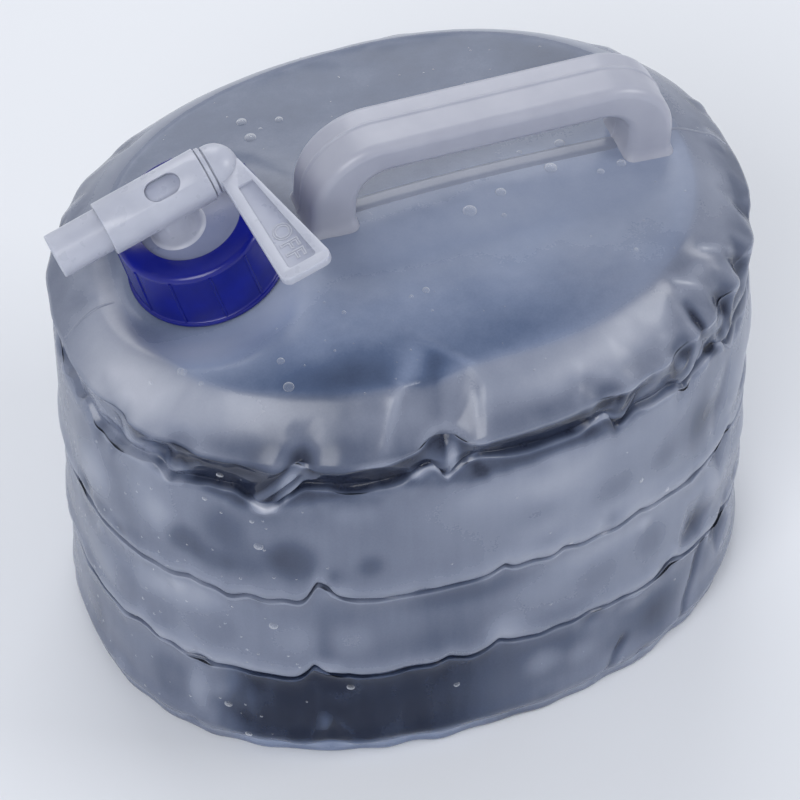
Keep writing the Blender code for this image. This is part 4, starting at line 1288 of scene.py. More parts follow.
        # Crown: bluish, painted darkest inside its near edge as shade and dark reflection, and painted
        # lighter at its far end from the tap
        crown = 0.45 + 0.24 * past(x, 62, 20) * past(y, 20, -10) - 0.15 * past(y, 30, 10)
        # A painted lighter band round the neck on the near side, which lightens the ring's cast shadow there
        crown += 0.26 * hump(np.hypot(x + 84, y), 40, 9) * past(y, -20, -5)
        for spot_x, spot_y, reach_x, reach_y, change in CROWN_PAINTED_LIGHT:
            crown += change * hump(x, spot_x, reach_x) * hump(y, spot_y, reach_y)
        crown -= 0.13 * hump(share, 0.72, 0.14) * past(y, -18, -14)
        crown -= 0.09 * hump(arc, -75, 34) * hump(share, edge - 0.03, 0.08)
        crown += 0.24 * hump(arc, -134, 22) * hump(share, 0.77, 0.08)
        crown += 0.1 * hump(arc, 18, 28) * hump(share, 0.83, 0.05)
        # Shoulder: milky and painted brighter as the side that faces the light, with painted bluer shade on
        # its lower half on the near side and a brighter left end
        lower = np.clip((share - 0.89) / 0.07, 0.0, 1.0)
        shoulder = 0.6 - 0.19 * lower * (1.0 - hump(arc, -160, 32)) - 0.17 * hump(arc, -74, 22)
        shoulder -= 0.12 * hump(arc, -22, 13) + 0.11 * past(arc, 91, 6) * past(arc, 230, -14)
        shoulder += self._sum_of(Swell(*row) for row in SHOULDER_PAINTED_LIGHT)
        outer = past(share, edge + 0.004, 0.006)
        far = np.maximum(past(y, -34, 6), past(x, 45, 8))
        return crown * (1.0 - outer) + shoulder * outer, (1.0 - 0.85 * outer) * (1.0 - 0.4 * far)

    def _tones(self, folds: dict[int, Line]) -> tuple[Array, Array]:
        """How milky the film is, with painted highlights, shade and reflections in it, from clear and painted
        dark at 0 to brightest at 1, and how blue it is, at each place.
        """
        arc, level = self.arcs, self.levels
        rows = np.arange(len(arc))[:, None]
        on_top = rows >= self.shoulder_first
        walls = ~on_top
        top, top_cool = self._top_tones()
        # Tiers, of which the lowest is clear at the left of the near side and painted dark there, as the dark
        # seen through clear film
        fold_1, fold_2, fold_3 = (folds[number][0] for number in (1, 2, 3))
        ledge = fold_1 - self.drops[1]
        dark = past(arc, -104, 3.5) * past(arc, -4, -7)
        tier_2 = 0.5 + 0.08 * hump(arc, 40, 50) - 0.08 * hump(arc, -65, 40)
        tier_3 = 0.47 + 0.12 * hump(arc, -135, 35) + 0.1 * hump(arc, 62, 34) - 0.07 * hump(arc, -25, 30)
        tier_4 = 0.44 - 0.42 * dark * np.clip((level - 6.5) / 4.0, 0.0, 1.0) - 0.12 * hump(arc, 8, 13)
        chosen = [on_top, level < fold_3, level < fold_2, level < fold_1]
        milk = np.select(chosen, [top, tier_4, tier_3, tier_2], 0.5)
        cool = np.where(on_top, top_cool, np.maximum(0.25, np.where(level < fold_3, 0.9 * dark, 0.0)))
        # The lip's underside is clear film painted dark, as shade under the lip and a dark reflection, and so
        # is the strip just under the top fold
        milky_end = past(arc, -133, -6) * past(arc, -236, 14)
        clear = 0.02 + 0.22 * past(arc, 56, 4) * past(arc, 290, -14)
        clear = clear + (0.42 - clear) * np.clip(level - 167.3, 0.0, 1.0)
        milk = np.where(walls & (level >= ledge), clear + (0.5 - clear) * milky_end, milk)
        strip = past(level, self.strip + 0.4, 0.5) * (1.0 - milky_end)
        strip *= 1.0 - 0.5 * past(arc, 82, 7) * past(arc, 280, -14)
        milk = np.where(walls & (level < ledge), milk + (0.14 - milk) * strip, milk)
        # Painted reflections on the facets of the gathered film
        for corners, change in FACET_PAINTED_REFLECTIONS:
            facet = Tent(tuple(np.mean(corners, 0)), corners, change, 0.3)
            milk += (walls | (level < 182.0)) * facet.depth_at(arc, level, self.length)
        # Painted highlights along the facets' ridges
        change = self._sum_of(Pleat(*row[:4], 0.55, row[4]) for row in RIDGE_HIGHLIGHTS)
        # A painted highlight line where the strip under the top fold starts, and one along the corner under
        # the top fold
        change += 0.16 * hump(level, self.strip + 0.6, 0.6)
        change += 0.36 * (1.0 - milky_end) * hump(level, ledge, 0.32)
        # Painted highlights on the rolls over the lower folds, and painted shade in their narrow bottoms
        # between painted light edges
        for fold in (fold_2, fold_3):
            for rise, half, size in ((4.5, 3.0, 0.16), (0.2, 0.6, -0.16), (-1.0, 0.45, 0.2)):
                change += size * hump(level, fold + rise, half)
        change += 0.22 * hump(level, 5.5, 1.0)
        # Painted highlights and shade of the walls
        change += self._sum_of(Swell(*row) for row in WALL_PAINTED_LIGHT)
        # Seeded patches of painted shade and highlight on the far half, as on the near one: the ranges of a
        # Swell's measures
        rng = np.random.default_rng(self.seed + 5)
        ranges = ((150.0, 600.0), (14.0, 140.0), (5.0, 11.0), (5.0, 11.0), (-0.2, 0.14))
        change += self._sum_of([Swell(*[rng.uniform(*ends) for ends in ranges], 4.0) for _ in range(34)])
        milk += walls * change
        milk += 0.25 * hump(level, 168.4, 0.6) * (rows > self.top_row)
        # Film that stands out in a crease is brightened, partly as stress whitening and partly as painted
        # highlight, and film at the bottom of one is darkened as painted shade
        milk += np.clip(self.ridge * 0.42, -0.2, 0.26)
        return np.clip(self._blurred(milk, 1), 0.0, 1.0), cool

    def _inward(self) -> Array:
        """The step from the outer to the inner skin: level on the walls, square to the film elsewhere."""
        level = np.concatenate([-self.out, np.zeros((self.columns, 1))], 1)[None]
        rows = np.arange(len(self.grid), dtype=float)
        base = 1.0 - np.clip(rows / self.base_last, 0.0, 1.0) ** 4
        top = np.clip((rows - self.shoulder_first) / 6.0, 0.0, 1.0)
        square = np.maximum(base, top)[:, None, None]
        step = level * (1.0 - square) - self.normals * square
        return self.wall * step / np.linalg.norm(step, axis=2, keepdims=True)

    def cut_skin(self) -> None:
        """Cuts the skin level where the tiers flatten from, and sorts its faces by piece."""
        count, rows = self.columns, len(self.grid) - 1
        faces = [*ring_faces(rows, count), *(((i + 1) % count, i, rows * count) for i in range(count))]
        sources = {"place": self.grid, "bend": self.normals, "inward": self._inward(), "milk": self.milk,
                   "cool": self.cool}
        values = {}
        for label, source in sources.items():
            flat = source[1:].reshape(rows * count, -1)
            values[label] = np.concatenate([flat, source[0, :1].reshape(1, -1)]).astype(np.float32)
        mesh = mesh_of("skin", values.pop("place"), faces)
        for label, array in values.items():
            wide = array.shape[1] == 3
            layer = mesh.attributes.new(label, "FLOAT_VECTOR" if wide else "FLOAT", "POINT")
            layer.data.foreach_set("vector" if wide else "value", array.ravel())
        skin = bmesh.new()
        skin.from_mesh(mesh)
        heights = [fold.anchor for fold in FOLDS.values() if fold.anchor > self.base_edge] + [self.seam]
        for height in heights:
            bmesh.ops.bisect_plane(skin, geom=[*skin.verts, *skin.edges, *skin.faces], dist=1e-7,
                                   plane_co=(0.0, 0.0, height * MM), plane_no=(0.0, 0.0, 1.0))
        skin.to_mesh(mesh)
        skin.free()
        self.cut = {}
        for label in ("position", "bend", "inward", "milk", "cool"):
            wide = label not in ("milk", "cool")
            array = np.empty(len(mesh.vertices) * (3 if wide else 1), np.float32)
            mesh.attributes[label].data.foreach_get("vector" if wide else "value", array)
            self.cut[label] = array.reshape(-1, 3).astype(float) if wide else array
        place = self.cut["position"] / MM
        for height in heights:
            place[np.abs(place[:, 2] - height) < 0.001, 2] = height
        self.cut["position"] = place
        corners = np.empty(len(mesh.loops), np.int32)
        mesh.loops.foreach_get("vertex_index", corners)
        starts = np.empty(len(mesh.polygons), np.int32)
        mesh.polygons.foreach_get("loop_start", starts)
        middle = np.add.reduceat(place[corners, 2], starts) / np.diff(np.append(starts, len(corners)))
        self.faces = np.split(corners, starts[1:])
        self.sorted = np.searchsorted([self.base_edge, *heights], middle)
        bpy.data.meshes.remove(mesh)

    def piece(self, part: Part) -> Object:
        """Takes one piece out of the cut skin and gives it its wall.

        Args:
            part: which piece.

        Returns:
            A closed shell whose smooth normals run on into its neighbours.
        """
        own = [self.faces[i] for i in np.flatnonzero(self.sorted == list(Part).index(part))]
        used, numbers = np.unique(np.concatenate(own), return_inverse=True)
        count = len(used)
        ends = np.cumsum([len(face) for face in own])
        faces = [tuple(face.tolist()) for face in np.split(numbers, ends[:-1])]
        ahead = [(face[k - 1], face[k]) for face in faces for k in range(len(face))]
        known = set(ahead)
        faces += [tuple(corner + count for corner in reversed(face)) for face in faces]
        faces += [(b, a, a + count, b + count) for a, b in ahead if (b, a) not in known]
        place, inward, bend = (self.cut[label][used] for label in ("position", "inward", "bend"))
        bend = bend / np.linalg.norm(bend, axis=1, keepdims=True)
        name = "film_" + part.value
        mesh = mesh_of(name, np.concatenate([place, place + inward]), faces)
        for label in ("milk", "cool"):
            layer = mesh.attributes.new(label, "FLOAT", "POINT")
            layer.data.foreach_set("value", np.tile(self.cut[label][used], 2))
        mesh.normals_split_custom_set_from_vertices(np.concatenate([bend, -bend]).tolist())
        return new_object(name, mesh)

    def build(self, film: Material) -> None:
        """Builds, dresses and places all pieces of the body."""
        self.build_grid()
        places = self.grid.reshape(-1, 3).tolist()
        self.tree = BVHTree.FromPolygons(places, ring_faces(len(self.grid), self.columns))
        self.cut_skin()
        for part, fold in FOLDS.items():
            item = self.piece(part)
            dressed(item, film)
            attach(item, fold.body)
            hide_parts(part.value)
            fold_piece(item, fold)
            logged(item)

    def on_top(self, x: float, y: float) -> tuple[Vector, Vector]:
        """The skin's place and normal straight below a point of the top, in millimetres."""
        return self.tree.ray_cast(Vector((x, y, 400.0)), Vector((0.0, 0.0, -1.0)))[:2]

    def on_wall(self, arc: float, height: float) -> tuple[Vector, Vector]:
        """The skin's place and normal at an arc and a height of the wall, in millimetres."""
        column = int(round((arc + self.length / 2.0) / self.length * self.columns)) % self.columns
        out = Vector((*self.out[column], 0.0))
        return self.tree.ray_cast(Vector((*self.rim[column], height)) + out * 40.0, -out)[:2]


def fold_piece(item: Object, fold: Fold) -> None:
    """Gives a piece of a tier that flattens its own copy of its mesh."""
    if fold.joint:
        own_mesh(item)


# Neck, mould lines and handle

@dataclass
class Neck:
    """The threaded neck, part of the film body's moulding."""

    outer: float = 24.6
    bore: float = 22.4
    top: float = 20.5
    root: float = -3.4
    flare: float = 2.2

    def build(self, finish: Material) -> None:
        """Builds the tube, its root fillet and its thread."""
        profile = [(self.bore, self.root), (self.bore, self.top - 0.4), (self.bore + 0.4, self.top),
                   (self.outer - 0.5, self.top), (self.outer, self.top - 0.5)]
        for step in range(7):
            turn = QUARTER_TURN * step / 6
            profile.append((self.outer + self.flare * (1.0 - math.cos(turn)),
                            self.flare * (1.0 - math.sin(turn)) - 0.9))
        profile += [(self.outer + self.flare, self.root + 1.4), (self.bore + 1.0, self.root)]
        tube = turned("neck_tube", profile, PLACES.neck)
        shaded(tube)
        ridge = helix("neck_thread", self.outer, 1.3, 7.0)
        for item in (tube, ridge):
            dressed(item, finish)
            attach(item, "top")
            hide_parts("top_panel")
            logged(item)


@dataclass
class MouldLines:
    """The low ridges that the two halves of the body's mould leave along its middle."""

    width: float = 1.5
    proud: float = 0.45
    pad_width: float = 7.0
    pad_proud: float = 0.8
    step: float = 1.5

    def _strip(self, body: FilmBody, start: float, end: float, width: float, proud: float, y: float = 0.0
               ) -> tuple[list[Vector], list[tuple[int, ...]]]:
        """A rounded strip that follows the top along X."""
        count = max(int(abs(end - start) / self.step), 4)
        across = 8
        points: list[Vector] = []
        for i in range(count + 1):
            x = start + (end - start) * i / count
            taper = min(1.0, min(i, count - i) / 3.0)
            # The top's points, then the two that close the strip under the film
            for k in (*range(across + 1), across, 0):
                side = -1.0 + 2.0 * k / across
                spot, normal = body.on_top(x, y + side * width / 2.0)
                sunk = len(points) % (across + 3) > across
                rise = -0.4 if sunk else proud * taper * (1.0 - side ** 4) - 0.12
                points.append(spot + normal * rise)
        ring = across + 3
        faces: list[tuple[int, ...]] = []
        for i in range(count):
            for k in range(ring):
                m = (k + 1) % ring
                faces.append((i * ring + k, i * ring + m, (i + 1) * ring + m, (i + 1) * ring + k))
        faces += [tuple(range(ring)), tuple(reversed(range(count * ring, (count + 1) * ring)))]
        return points, faces

    def build(self, body: FilmBody, finish: Material) -> None:
        """Builds the ridges beside the handle and the wide pad under it."""
        runs = [(start, end, self.width, self.proud, 0.0)
                for start, end in ((-130.6, -109.5), (-43.6, -38.6), (103.8, 130.6))]
        runs.append((-22.0, 85.5, self.pad_width, self.pad_proud, -1.0))
        points: list[Vector] = []
        faces: list[tuple[int, ...]] = []
        for start, end, width, proud, y in runs:
            strip, sides = self._strip(body, start, end, width, proud, y)
            faces += [tuple(corner + len(points) for corner in face) for face in sides]
            points += strip
        mesh = mesh_of("mould_lines", [tuple(p) for p in points], faces)
        tidy_mesh(mesh)
        layer = mesh.attributes.new("milk", "FLOAT", "POINT")
        layer.data.foreach_set("value", np.full(len(mesh.vertices), 0.56, np.float32))
        item = new_object("mould_lines", mesh)
        shaded(item, 60.0)
        dressed(item, finish)
        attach(item, "top")
        logged(item)


@dataclass
class Handle:
    """The bridge handle, blow-moulded in two halves: wide bends, soft corners and a mould line all round."""

    start: float = -38.5
    end: float = 102.5
    width: float = 24.0
    height: float = 37.5
    foot_thickness: float = 17.5
    bar_thickness: float = 13.2
    outer_radius: float = 27.0
    inner_radius: float = 12.0
    corner_radius: float = 3.6
    line_proud: float = 0.42
    line_width: float = 1.5
    line_shift: float = 2.0
    foot_flare: float = 1.2
    arc_steps: int = 22
    corner_steps: int = 8
    bar_steps: int = 30
    foot_steps: int = 10

    def _section(self, outer: Vector, inner: Vector, grow: float) -> list[Vector]:
        """One closed section between the handle's outer and inner edges, with a mould line on both."""
        rise = (outer - inner).length
        up = (outer - inner).normalized()
        radius = self.corner_radius
        half = self.width / 2.0 + grow - radius
        corners = ((half, rise + grow - radius), (-half, rise + grow - radius), (-half, radius - grow),
                   (half, radius - grow))
        points: list[Point2] = []
        for quarter, (y, w) in enumerate(corners):
            for step in range(self.corner_steps + 1):
                turn = QUARTER_TURN * (quarter + step / self.corner_steps)
                points.append((y + radius * math.cos(turn), w + radius * math.sin(turn)))
            if quarter % 2 == 0:
                # The mould line stands on the middle of the outer edge and of the inner one
                sign = 1.0 if quarter == 0 else -1.0
                for k in range(-6, 7):
                    aside = -sign * k / 6.0 * self.line_width
                    ridge = self.line_proud * math.exp(-(aside / (self.line_width * 0.38)) ** 2)
                    points.append((aside + self.line_shift, w + sign * (radius + ridge)))
        return [inner + up * w + Vector((0.0, y, 0.0)) for y, w in points]

    def build(self, body: FilmBody, finish: Material) -> None:
        """Builds the handle with its feet let down on the crown."""
        middle = (self.start + self.end) / 2.0
        half = (self.end - self.start) / 2.0
        thick = self.foot_thickness
        foot = half - thick / 2.0
        left = body.top_height(np.array([middle - foot]), np.array([0.0]))[0]
        right = body.top_height(np.array([middle + foot]), np.array([0.0]))[0]
        lean = math.atan2(right - left, 2.0 * foot)
        place = Matrix.Translation((middle, 0.0, (left + right) / 2.0)) @ Matrix.Rotation(-lean, 4, "Y")
        under = self.height - self.bar_thickness
        outer_middle = (-half + self.outer_radius, self.height - self.outer_radius)
        inner_middle = (-half + thick + self.inner_radius, under - self.inner_radius)
        pairs: list[tuple[Point2, Point2, float]] = []
        for step in range(self.foot_steps):
            share = step / self.foot_steps
            low = -6.0
            flare = self.foot_flare * math.exp(-((share * 16.0 - 4.6) / 2.2) ** 2 if share > 0.29 else 0.0)
            pairs.append(((-half, low + (outer_middle[1] - low) * share),
                          (-half + thick, low + (inner_middle[1] - low) * share), flare))
        for step in range(self.arc_steps + 1):
            turn = math.pi - QUARTER_TURN * step / self.arc_steps
            outer, inner = ((middle_x + radius * math.cos(turn), middle_z + radius * math.sin(turn))
                            for (middle_x, middle_z), radius in ((outer_middle, self.outer_radius),
                                                                 (inner_middle, self.inner_radius)))
            pairs.append((outer, inner, 0.0))
        one_side = list(pairs)
        (outer_x, outer_z), (inner_x, inner_z), _ = pairs[-1]
        for step in range(1, self.bar_steps):
            side = 1.0 - 2.0 * step / self.bar_steps
            pairs.append(((outer_x * side, outer_z), (inner_x * side, inner_z), 0.0))
        pairs += [((-o[0], o[1]), (-i[0], i[1]), grow) for o, i, grow in reversed(one_side)]
        rings = []
        for (outer_x, outer_z), (inner_x, inner_z), grow in pairs:
            section = self._section(Vector((outer_x, 0.0, outer_z)), Vector((inner_x, 0.0, inner_z)), grow)
            rings.append([place @ point for point in section])
        count = len(rings[0])
        points = [point for ring in rings for point in ring]
        for point in points:
            point.z = max(point.z, body.on_top(point.x, point.y)[0].z - 0.25)
        faces: list[tuple[int, ...]] = list(ring_faces(len(rings), count))
        faces += [tuple(reversed(range(count))), tuple(range((len(rings) - 1) * count, len(rings) * count))]
        mesh = mesh_of("grip_handle", [tuple(p) for p in points], faces)
        tidy_mesh(mesh)
        item = new_object("grip_handle", mesh)
        shaded(item, 50.0)
        dressed(item, finish)
        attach(item, "top")
        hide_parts("handle")
        logged(item)


# Screw ring

@dataclass
class ScrewRing:
    """The dark blue ring: a flared rim, a skirt with slim grip ribs, a soft top edge and a wide hole."""

    height: float = 27.4
    rim_radius: float = 30.2
    rim_height: float = 1.8
    foot_radius: float = 29.0
    top_radius: float = 28.4
    edge: float = 2.4
    hole_radius: float = 19.1
    top_thickness: float = 2.2
    bore: float = 26.3
    rib_count: int = 12
    rib_phase: float = -35.0
    rib_width: float = 1.25
    rib_proud: float = 0.5

    def profile(self) -> list[Point2]:
        """The ring's closed section, from its hole over the top and down its skirt."""
        points = [(self.hole_radius, self.height - 0.5), (self.hole_radius + 0.15, self.height - 0.15),
                  (self.hole_radius + 0.5, self.height)]
        for step in range(13):
            turn = QUARTER_TURN * step / 12
            points.append((self.top_radius - self.edge * (1.0 - math.sin(turn)),
                           self.height - self.edge * (1.0 - math.cos(turn))))
        skirt = self.rim_height + 1.0
        points += [(self.foot_radius - 0.05, skirt), (self.foot_radius + 0.15, self.rim_height + 0.35),
                   (self.foot_radius + 0.6, self.rim_height), (self.rim_radius - 0.35, self.rim_height),
                   (self.rim_radius - 0.05, self.rim_height - 0.3), (self.rim_radius, self.rim_height - 0.7),
                   (self.rim_radius, 0.5), (self.rim_radius - 0.3, 0.0), (self.bore + 0.3, 0.0),
                   (self.bore, 0.4), (self.bore, self.height - self.top_thickness),
                   (self.hole_radius, self.height - self.top_thickness)]
        return list(reversed(points))

    def rib_tree(self, finish: Material) -> Nodes:
        """The Geometry Nodes tree that stands slim rounded ribs round a skirt.

        Args:
            finish: the ribs' material.

        Returns:
            The tree, whose inputs are lengths in metres, a count and a phase in radians.
        """
        lengths = ("Foot Radius", "Top Radius", "Low", "High", "Rib Width", "Phase")
        tree = new_tree("grip_ribs", {"Rib Count": "Int", **dict.fromkeys(lengths, "Float")})
        given = add_node(tree, "NodeGroupInput").outputs
        ends = [add_node(tree, "ShaderNodeCombineXYZ", {"X": given[radius], "Z": given[height]}).outputs[0]
                for radius, height in (("Foot Radius", "Low"), ("Top Radius", "High"))]
        line = add_node(tree, "GeometryNodeCurvePrimitiveLine", {"Start": ends[0], "End": ends[1]})
        half = add_node(tree, "ShaderNodeMath", {0: given["Rib Width"], 1: 0.5}, operation="MULTIPLY")
        ring = add_node(tree, "GeometryNodeCurvePrimitiveCircle", {
            "Resolution": 14, "Radius": half.outputs[0]})
        rod = add_node(tree, "GeometryNodeCurveToMesh", {
            "Curve": line.outputs["Curve"], "Profile Curve": ring.outputs["Curve"], "Fill Caps": True})
        spots = add_node(tree, "GeometryNodePoints", {"Count": given["Rib Count"]}).outputs[0]
        number = add_node(tree, "GeometryNodeInputIndex").outputs[0]
        step = add_node(tree, "ShaderNodeMath", {0: FULL_TURN, 1: given["Rib Count"]}, operation="DIVIDE")
        turn = add_node(tree, "ShaderNodeMath", {0: number, 1: step.outputs[0], 2: given["Phase"]},
                        operation="MULTIPLY_ADD")
        spin = add_node(tree, "ShaderNodeCombineXYZ", {"Z": turn.outputs[0]}).outputs[0]
        ribs = add_node(tree, "GeometryNodeInstanceOnPoints", {
            "Points": spots, "Instance": rod.outputs["Mesh"], "Rotation": spin})
        end_tree(tree, ribs.outputs[0], finish)
        return tree

    def build(self, finish: Material) -> None:
        """Builds the ring, its inside thread and its ribs."""
        ring = turned("screw_ring", self.profile(), PLACES.neck, steps=192)
        shaded(ring, 45.0)
        thread = helix("screw_ring_thread", self.bore, -1.3, 5.0)
        sunk = self.rib_width / 2.0 - self.rib_proud
        ribs = evaluated_tree("screw_ring_ribs", bpy.data.meshes.new("ribs"), self.rib_tree(finish), {
            "Rib Count": self.rib_count, "Foot Radius": (self.foot_radius - sunk) * MM,
            "Top Radius": (self.top_radius - sunk) * MM, "Low": (self.rim_height - 0.3) * MM,
            "High": (self.height - self.edge * 0.8) * MM, "Rib Width": self.rib_width * MM,
            "Phase": math.radians(self.rib_phase)})
        ribs.data.transform(PLACES.neck)
        for item in (ring, thread, ribs):
            dressed(item, finish)
            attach(item, "cap")
            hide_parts("cap_ring")
            logged(item)


# Tap

@dataclass
class TapBody:
    """The tap's fixed moulding: flange under the ring, short neck and cross barrel with its window."""

    flange_radius: float = 24.2
    flange_thickness: float = 2.0
    rise: float = 16.3
    ring_top: float = 2.2
    gap: float = 0.3
    neck_radius: float = 9.3
    neck_shift: float = 5.0
    neck_flare: float = 2.0
    port_radius: float = 5.5
    barrel_radius: float = 10.15
    bore_radius: float = 8.6
    front: float = 29.2
    back: float = 11.6
    edge: float = 0.5
    window: tuple[float, float] = (13.6, 8.4)
    window_shift: float = 4.3
    window_lean: float = 20.0

    def build(self, finish: Material, painted_shade_finish: Material) -> None:
        """Builds the moulding and cuts its bore, port and window.

        Args:
            finish: the barrel's and the neck's material.
            painted_shade_finish: the same plastic darkened as painted shade, on the flange in the ring's
                shadow.
        """
        top = -self.rise - self.ring_top - self.gap
        low = top - self.flange_thickness
        r, e = self.barrel_radius, self.edge
        along = Matrix.Rotation(QUARTER_TURN, 4, "Y")
        barrel = turned("tap_body_shell", [
            (0.0, -self.back), (r - e, -self.back), (r - 0.15 * e, -self.back + 0.4 * e), (r, -self.back + e),
            (r, self.front - e), (r - 0.15 * e, self.front - 0.4 * e), (r - e, self.front), (0.0, self.front),
        ], along, steps=144)
        wide, soft = self.flange_radius, 0.3
        disc = turned("flange", [
            (0.0, low), (wide - soft, low), (wide, low + soft),
            (wide, top - soft), (wide - soft, top), (0.0, top),
        ], Matrix.Identity(4), steps=144)
        shift = Matrix.Translation((self.neck_shift * MM, 0.0, 0.0))
        neck_profile = [(0.0, top - 0.6)]
        for step in range(9):
            turn = QUARTER_TURN * step / 8
            neck_profile.append((self.neck_radius + self.neck_flare * (1.0 - math.sin(turn)),
                                 top - 0.1 + self.neck_flare * (1.0 - math.cos(turn))))
        neck_profile += [(self.neck_radius, -4.0), (0.0, -4.0)]
        neck = turned("neck", neck_profile, shift, steps=96)
        combined(barrel, "UNION", disc)
        combined(barrel, "UNION", neck)
        for name, radius, start, end, place, steps in (
                ("bore", self.bore_radius, -self.back - 3.0, self.front + 3.0, along, 128),
                ("port", self.port_radius, low - 2.0, -3.0, shift, 64)):
            cutter = [(0.0, start), (radius, start), (radius, end), (0.0, end)]
            combined(barrel, "DIFFERENCE", turned(name, cutter, place, steps))
        hole = prism("window", stadium(*self.window), 0.0, self.barrel_radius + 3.0)
        hole.data.transform(Matrix.Rotation(math.radians(-self.window_lean), 4, "X")
                            @ Matrix.Translation((self.window_shift * MM, 0.0, 0.0)))
        combined(barrel, "DIFFERENCE", hole)
        tidy_mesh(barrel.data)
        bevelled(barrel, 0.25, 2, 50.0)
        dressed(barrel, finish)
        # The flange, in the ring's shadow, takes the darker copy as painted shade
        dressed_partly(barrel, painted_shade_finish, lambda middle: middle.z < top + 0.05)
        barrel.data.transform(PLACES.tap)
        shaded(barrel, 40.0)
        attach(barrel, "tap")
        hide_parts("tap_body")
        logged(barrel)


@dataclass
class Spindle:
    """The turning part: nozzle tube, collar, domed hub and the flat lever with its lettered pocket."""

    radius: float = 8.3
    bore: float = 6.4
    reach: float = 49.2
    floor: float = 9.0
    back: float = 11.6
    gap: float = 0.3
    collar_radius: float = 9.5
    collar_thickness: float = 1.7
    groove: float = 0.6
    hub_radius: float = 9.0
    hub_straight: float = 1.2
    port_radius: float = 5.5
    port_shift: float = 5.0
    seal_depth: float = 1.15
    seal_half: float = 0.75
    seal_spots: tuple[float, float] = (24.0, -7.5)
    lever_reach: float = 61.0
    lever_thickness: float = 4.0
    lever_tip: float = 20.2
    lever_root: float = 9.6
    lever_root_depth: float = 2.2
    lever_corner: float = 3.4
    lever_edge: float = 0.7
    pocket_depth: float = 1.1
    pocket_border: float = 4.2
    pocket_start: float = 14.0
    word: str = "OFF"
    word_middle: Point2 = (-23.7, 45.2)
    word_size: float = 9.6
    word_line: float = 0.26

    @property
    def hub_top(self) -> float:
        """Where the hub starts, along the barrel."""
        return -self.back - self.gap - self.collar_thickness - self.groove

    def _tube(self) -> Object:
        """The turned body: nozzle, seal grooves, collar and domed hub, with the side port cut in."""
        r = self.radius
        profile = [(0.0, -self.floor), (self.bore - 0.4, -self.floor), (self.bore, -self.floor + 0.4),
                   (self.bore, self.reach - 0.35), (self.bore + 0.35, self.reach), (r - 0.35, self.reach),
                   (r, self.reach - 0.35)]
        for middle in self.seal_spots:
            for radius, side in ((r, 1), (r - self.seal_depth, 1), (r - self.seal_depth, -1), (r, -1)):
                profile.append((radius, middle + side * self.seal_half))
        top = -self.back - self.gap
        low = top - self.collar_thickness
        c = self.collar_radius
        profile += [(r, top), (c - 0.3, top), (c, top - 0.3), (c, low + 0.3), (c - 0.3, low), (r - 0.3, low),
                    (r - 0.3, self.hub_top), (self.hub_radius - 0.3, self.hub_top),
                    (self.hub_radius, self.hub_top - 0.3)]
        dome = self.hub_top - self.hub_straight
        for step in range(17):
            turn = QUARTER_TURN * step / 16
            profile.append((self.hub_radius * math.cos(turn), dome - self.hub_radius * math.sin(turn)))
        profile[-1] = (0.0, dome - self.hub_radius)
        tube = turned("spindle_tube", profile, Matrix.Rotation(QUARTER_TURN, 4, "Y"), steps=144)
        wide, deep = self.port_radius, self.radius + 3.0
        place = Matrix.Translation((self.port_shift * MM, 0.0, 0.0)) @ Matrix.Rotation(QUARTER_TURN, 4, "X")
        port = turned("side_port", [(0.0, 0.0), (wide, 0.0), (wide, deep), (0.0, deep)], place, steps=64)
        combined(tube, "DIFFERENCE", port)
        return tube

    def _lever(self) -> Object:
        """The blade with softened edges and its sunk pocket."""
        near = self.hub_top - self.lever_edge

        def far(reach: float) -> float:
            return self.lever_root + (self.lever_tip - self.lever_root) * reach / self.lever_reach

        corners = [(near, -self.lever_root_depth), (near, self.lever_reach),
                   (near - far(self.lever_reach), self.lever_reach), (near - far(0.0), self.lever_root_depth)]
        c = self.lever_corner
        half = self.lever_thickness / 2.0
        blade = prism("lever_blade", rounded(corners, (0.7, c, c, 0.7)), -half, half)
        bevelled(blade, self.lever_edge, 4, 60.0)
        end = self.lever_reach - self.pocket_border
        border, start = self.pocket_border, self.pocket_start
        sunk = [(near - border, start), (near - border, end), (near - far(end) + border, end),
                (near - far(start) + border / 2.0, start)]
        pocket = prism("pocket", rounded(sunk, (0.7, 1.3, 1.3, 0.7)), half - self.pocket_depth, half + 2.0)
        combined(blade, "DIFFERENCE", pocket)
        tidy_mesh(blade.data)
        bevelled(blade, 0.22, 2, 60.0)
        return blade

    def _word(self) -> Object:
        """The raised generic word on the pocket's floor, read from the hub to the tip."""
        data = bpy.data.curves.new("lever_word", "FONT")
        data.body = self.word
        data.size = self.word_size * MM
        data.align_x, data.align_y = "CENTER", "CENTER"
        data.space_character = 1.08
        data.fill_mode = "NONE"
        data.bevel_depth = self.word_line * MM
        data.bevel_resolution = 2
        draft = new_object("word_draft", data)
        bpy.context.view_layer.update()
        ready = draft.evaluated_get(bpy.context.evaluated_depsgraph_get())
        mesh = bpy.data.meshes.new_from_object(ready)
        bpy.data.objects.remove(draft, do_unlink=True)
        mesh.name = "lever_word"
        tidy_mesh(mesh, 0.001)
        item = new_object("lever_word", mesh)
        floor = self.lever_thickness / 2.0 - self.pocket_depth
        mesh.transform(Matrix.Translation((self.word_middle[0] * MM, self.word_middle[1] * MM, floor * MM))
                       @ Matrix.Rotation(QUARTER_TURN, 4, "Z"))
        return item

    def build(self, finish: Material, painted_shade_finish: Material) -> None:
        """Builds all pieces of the spindle and sets them on the tap's frame.

        Args:
            finish: the material.
            painted_shade_finish: the same plastic darkened as painted shade, on the pocket's floor and the
                tube inside the barrel.
        """
        floor = self.lever_thickness / 2.0 - self.pocket_depth
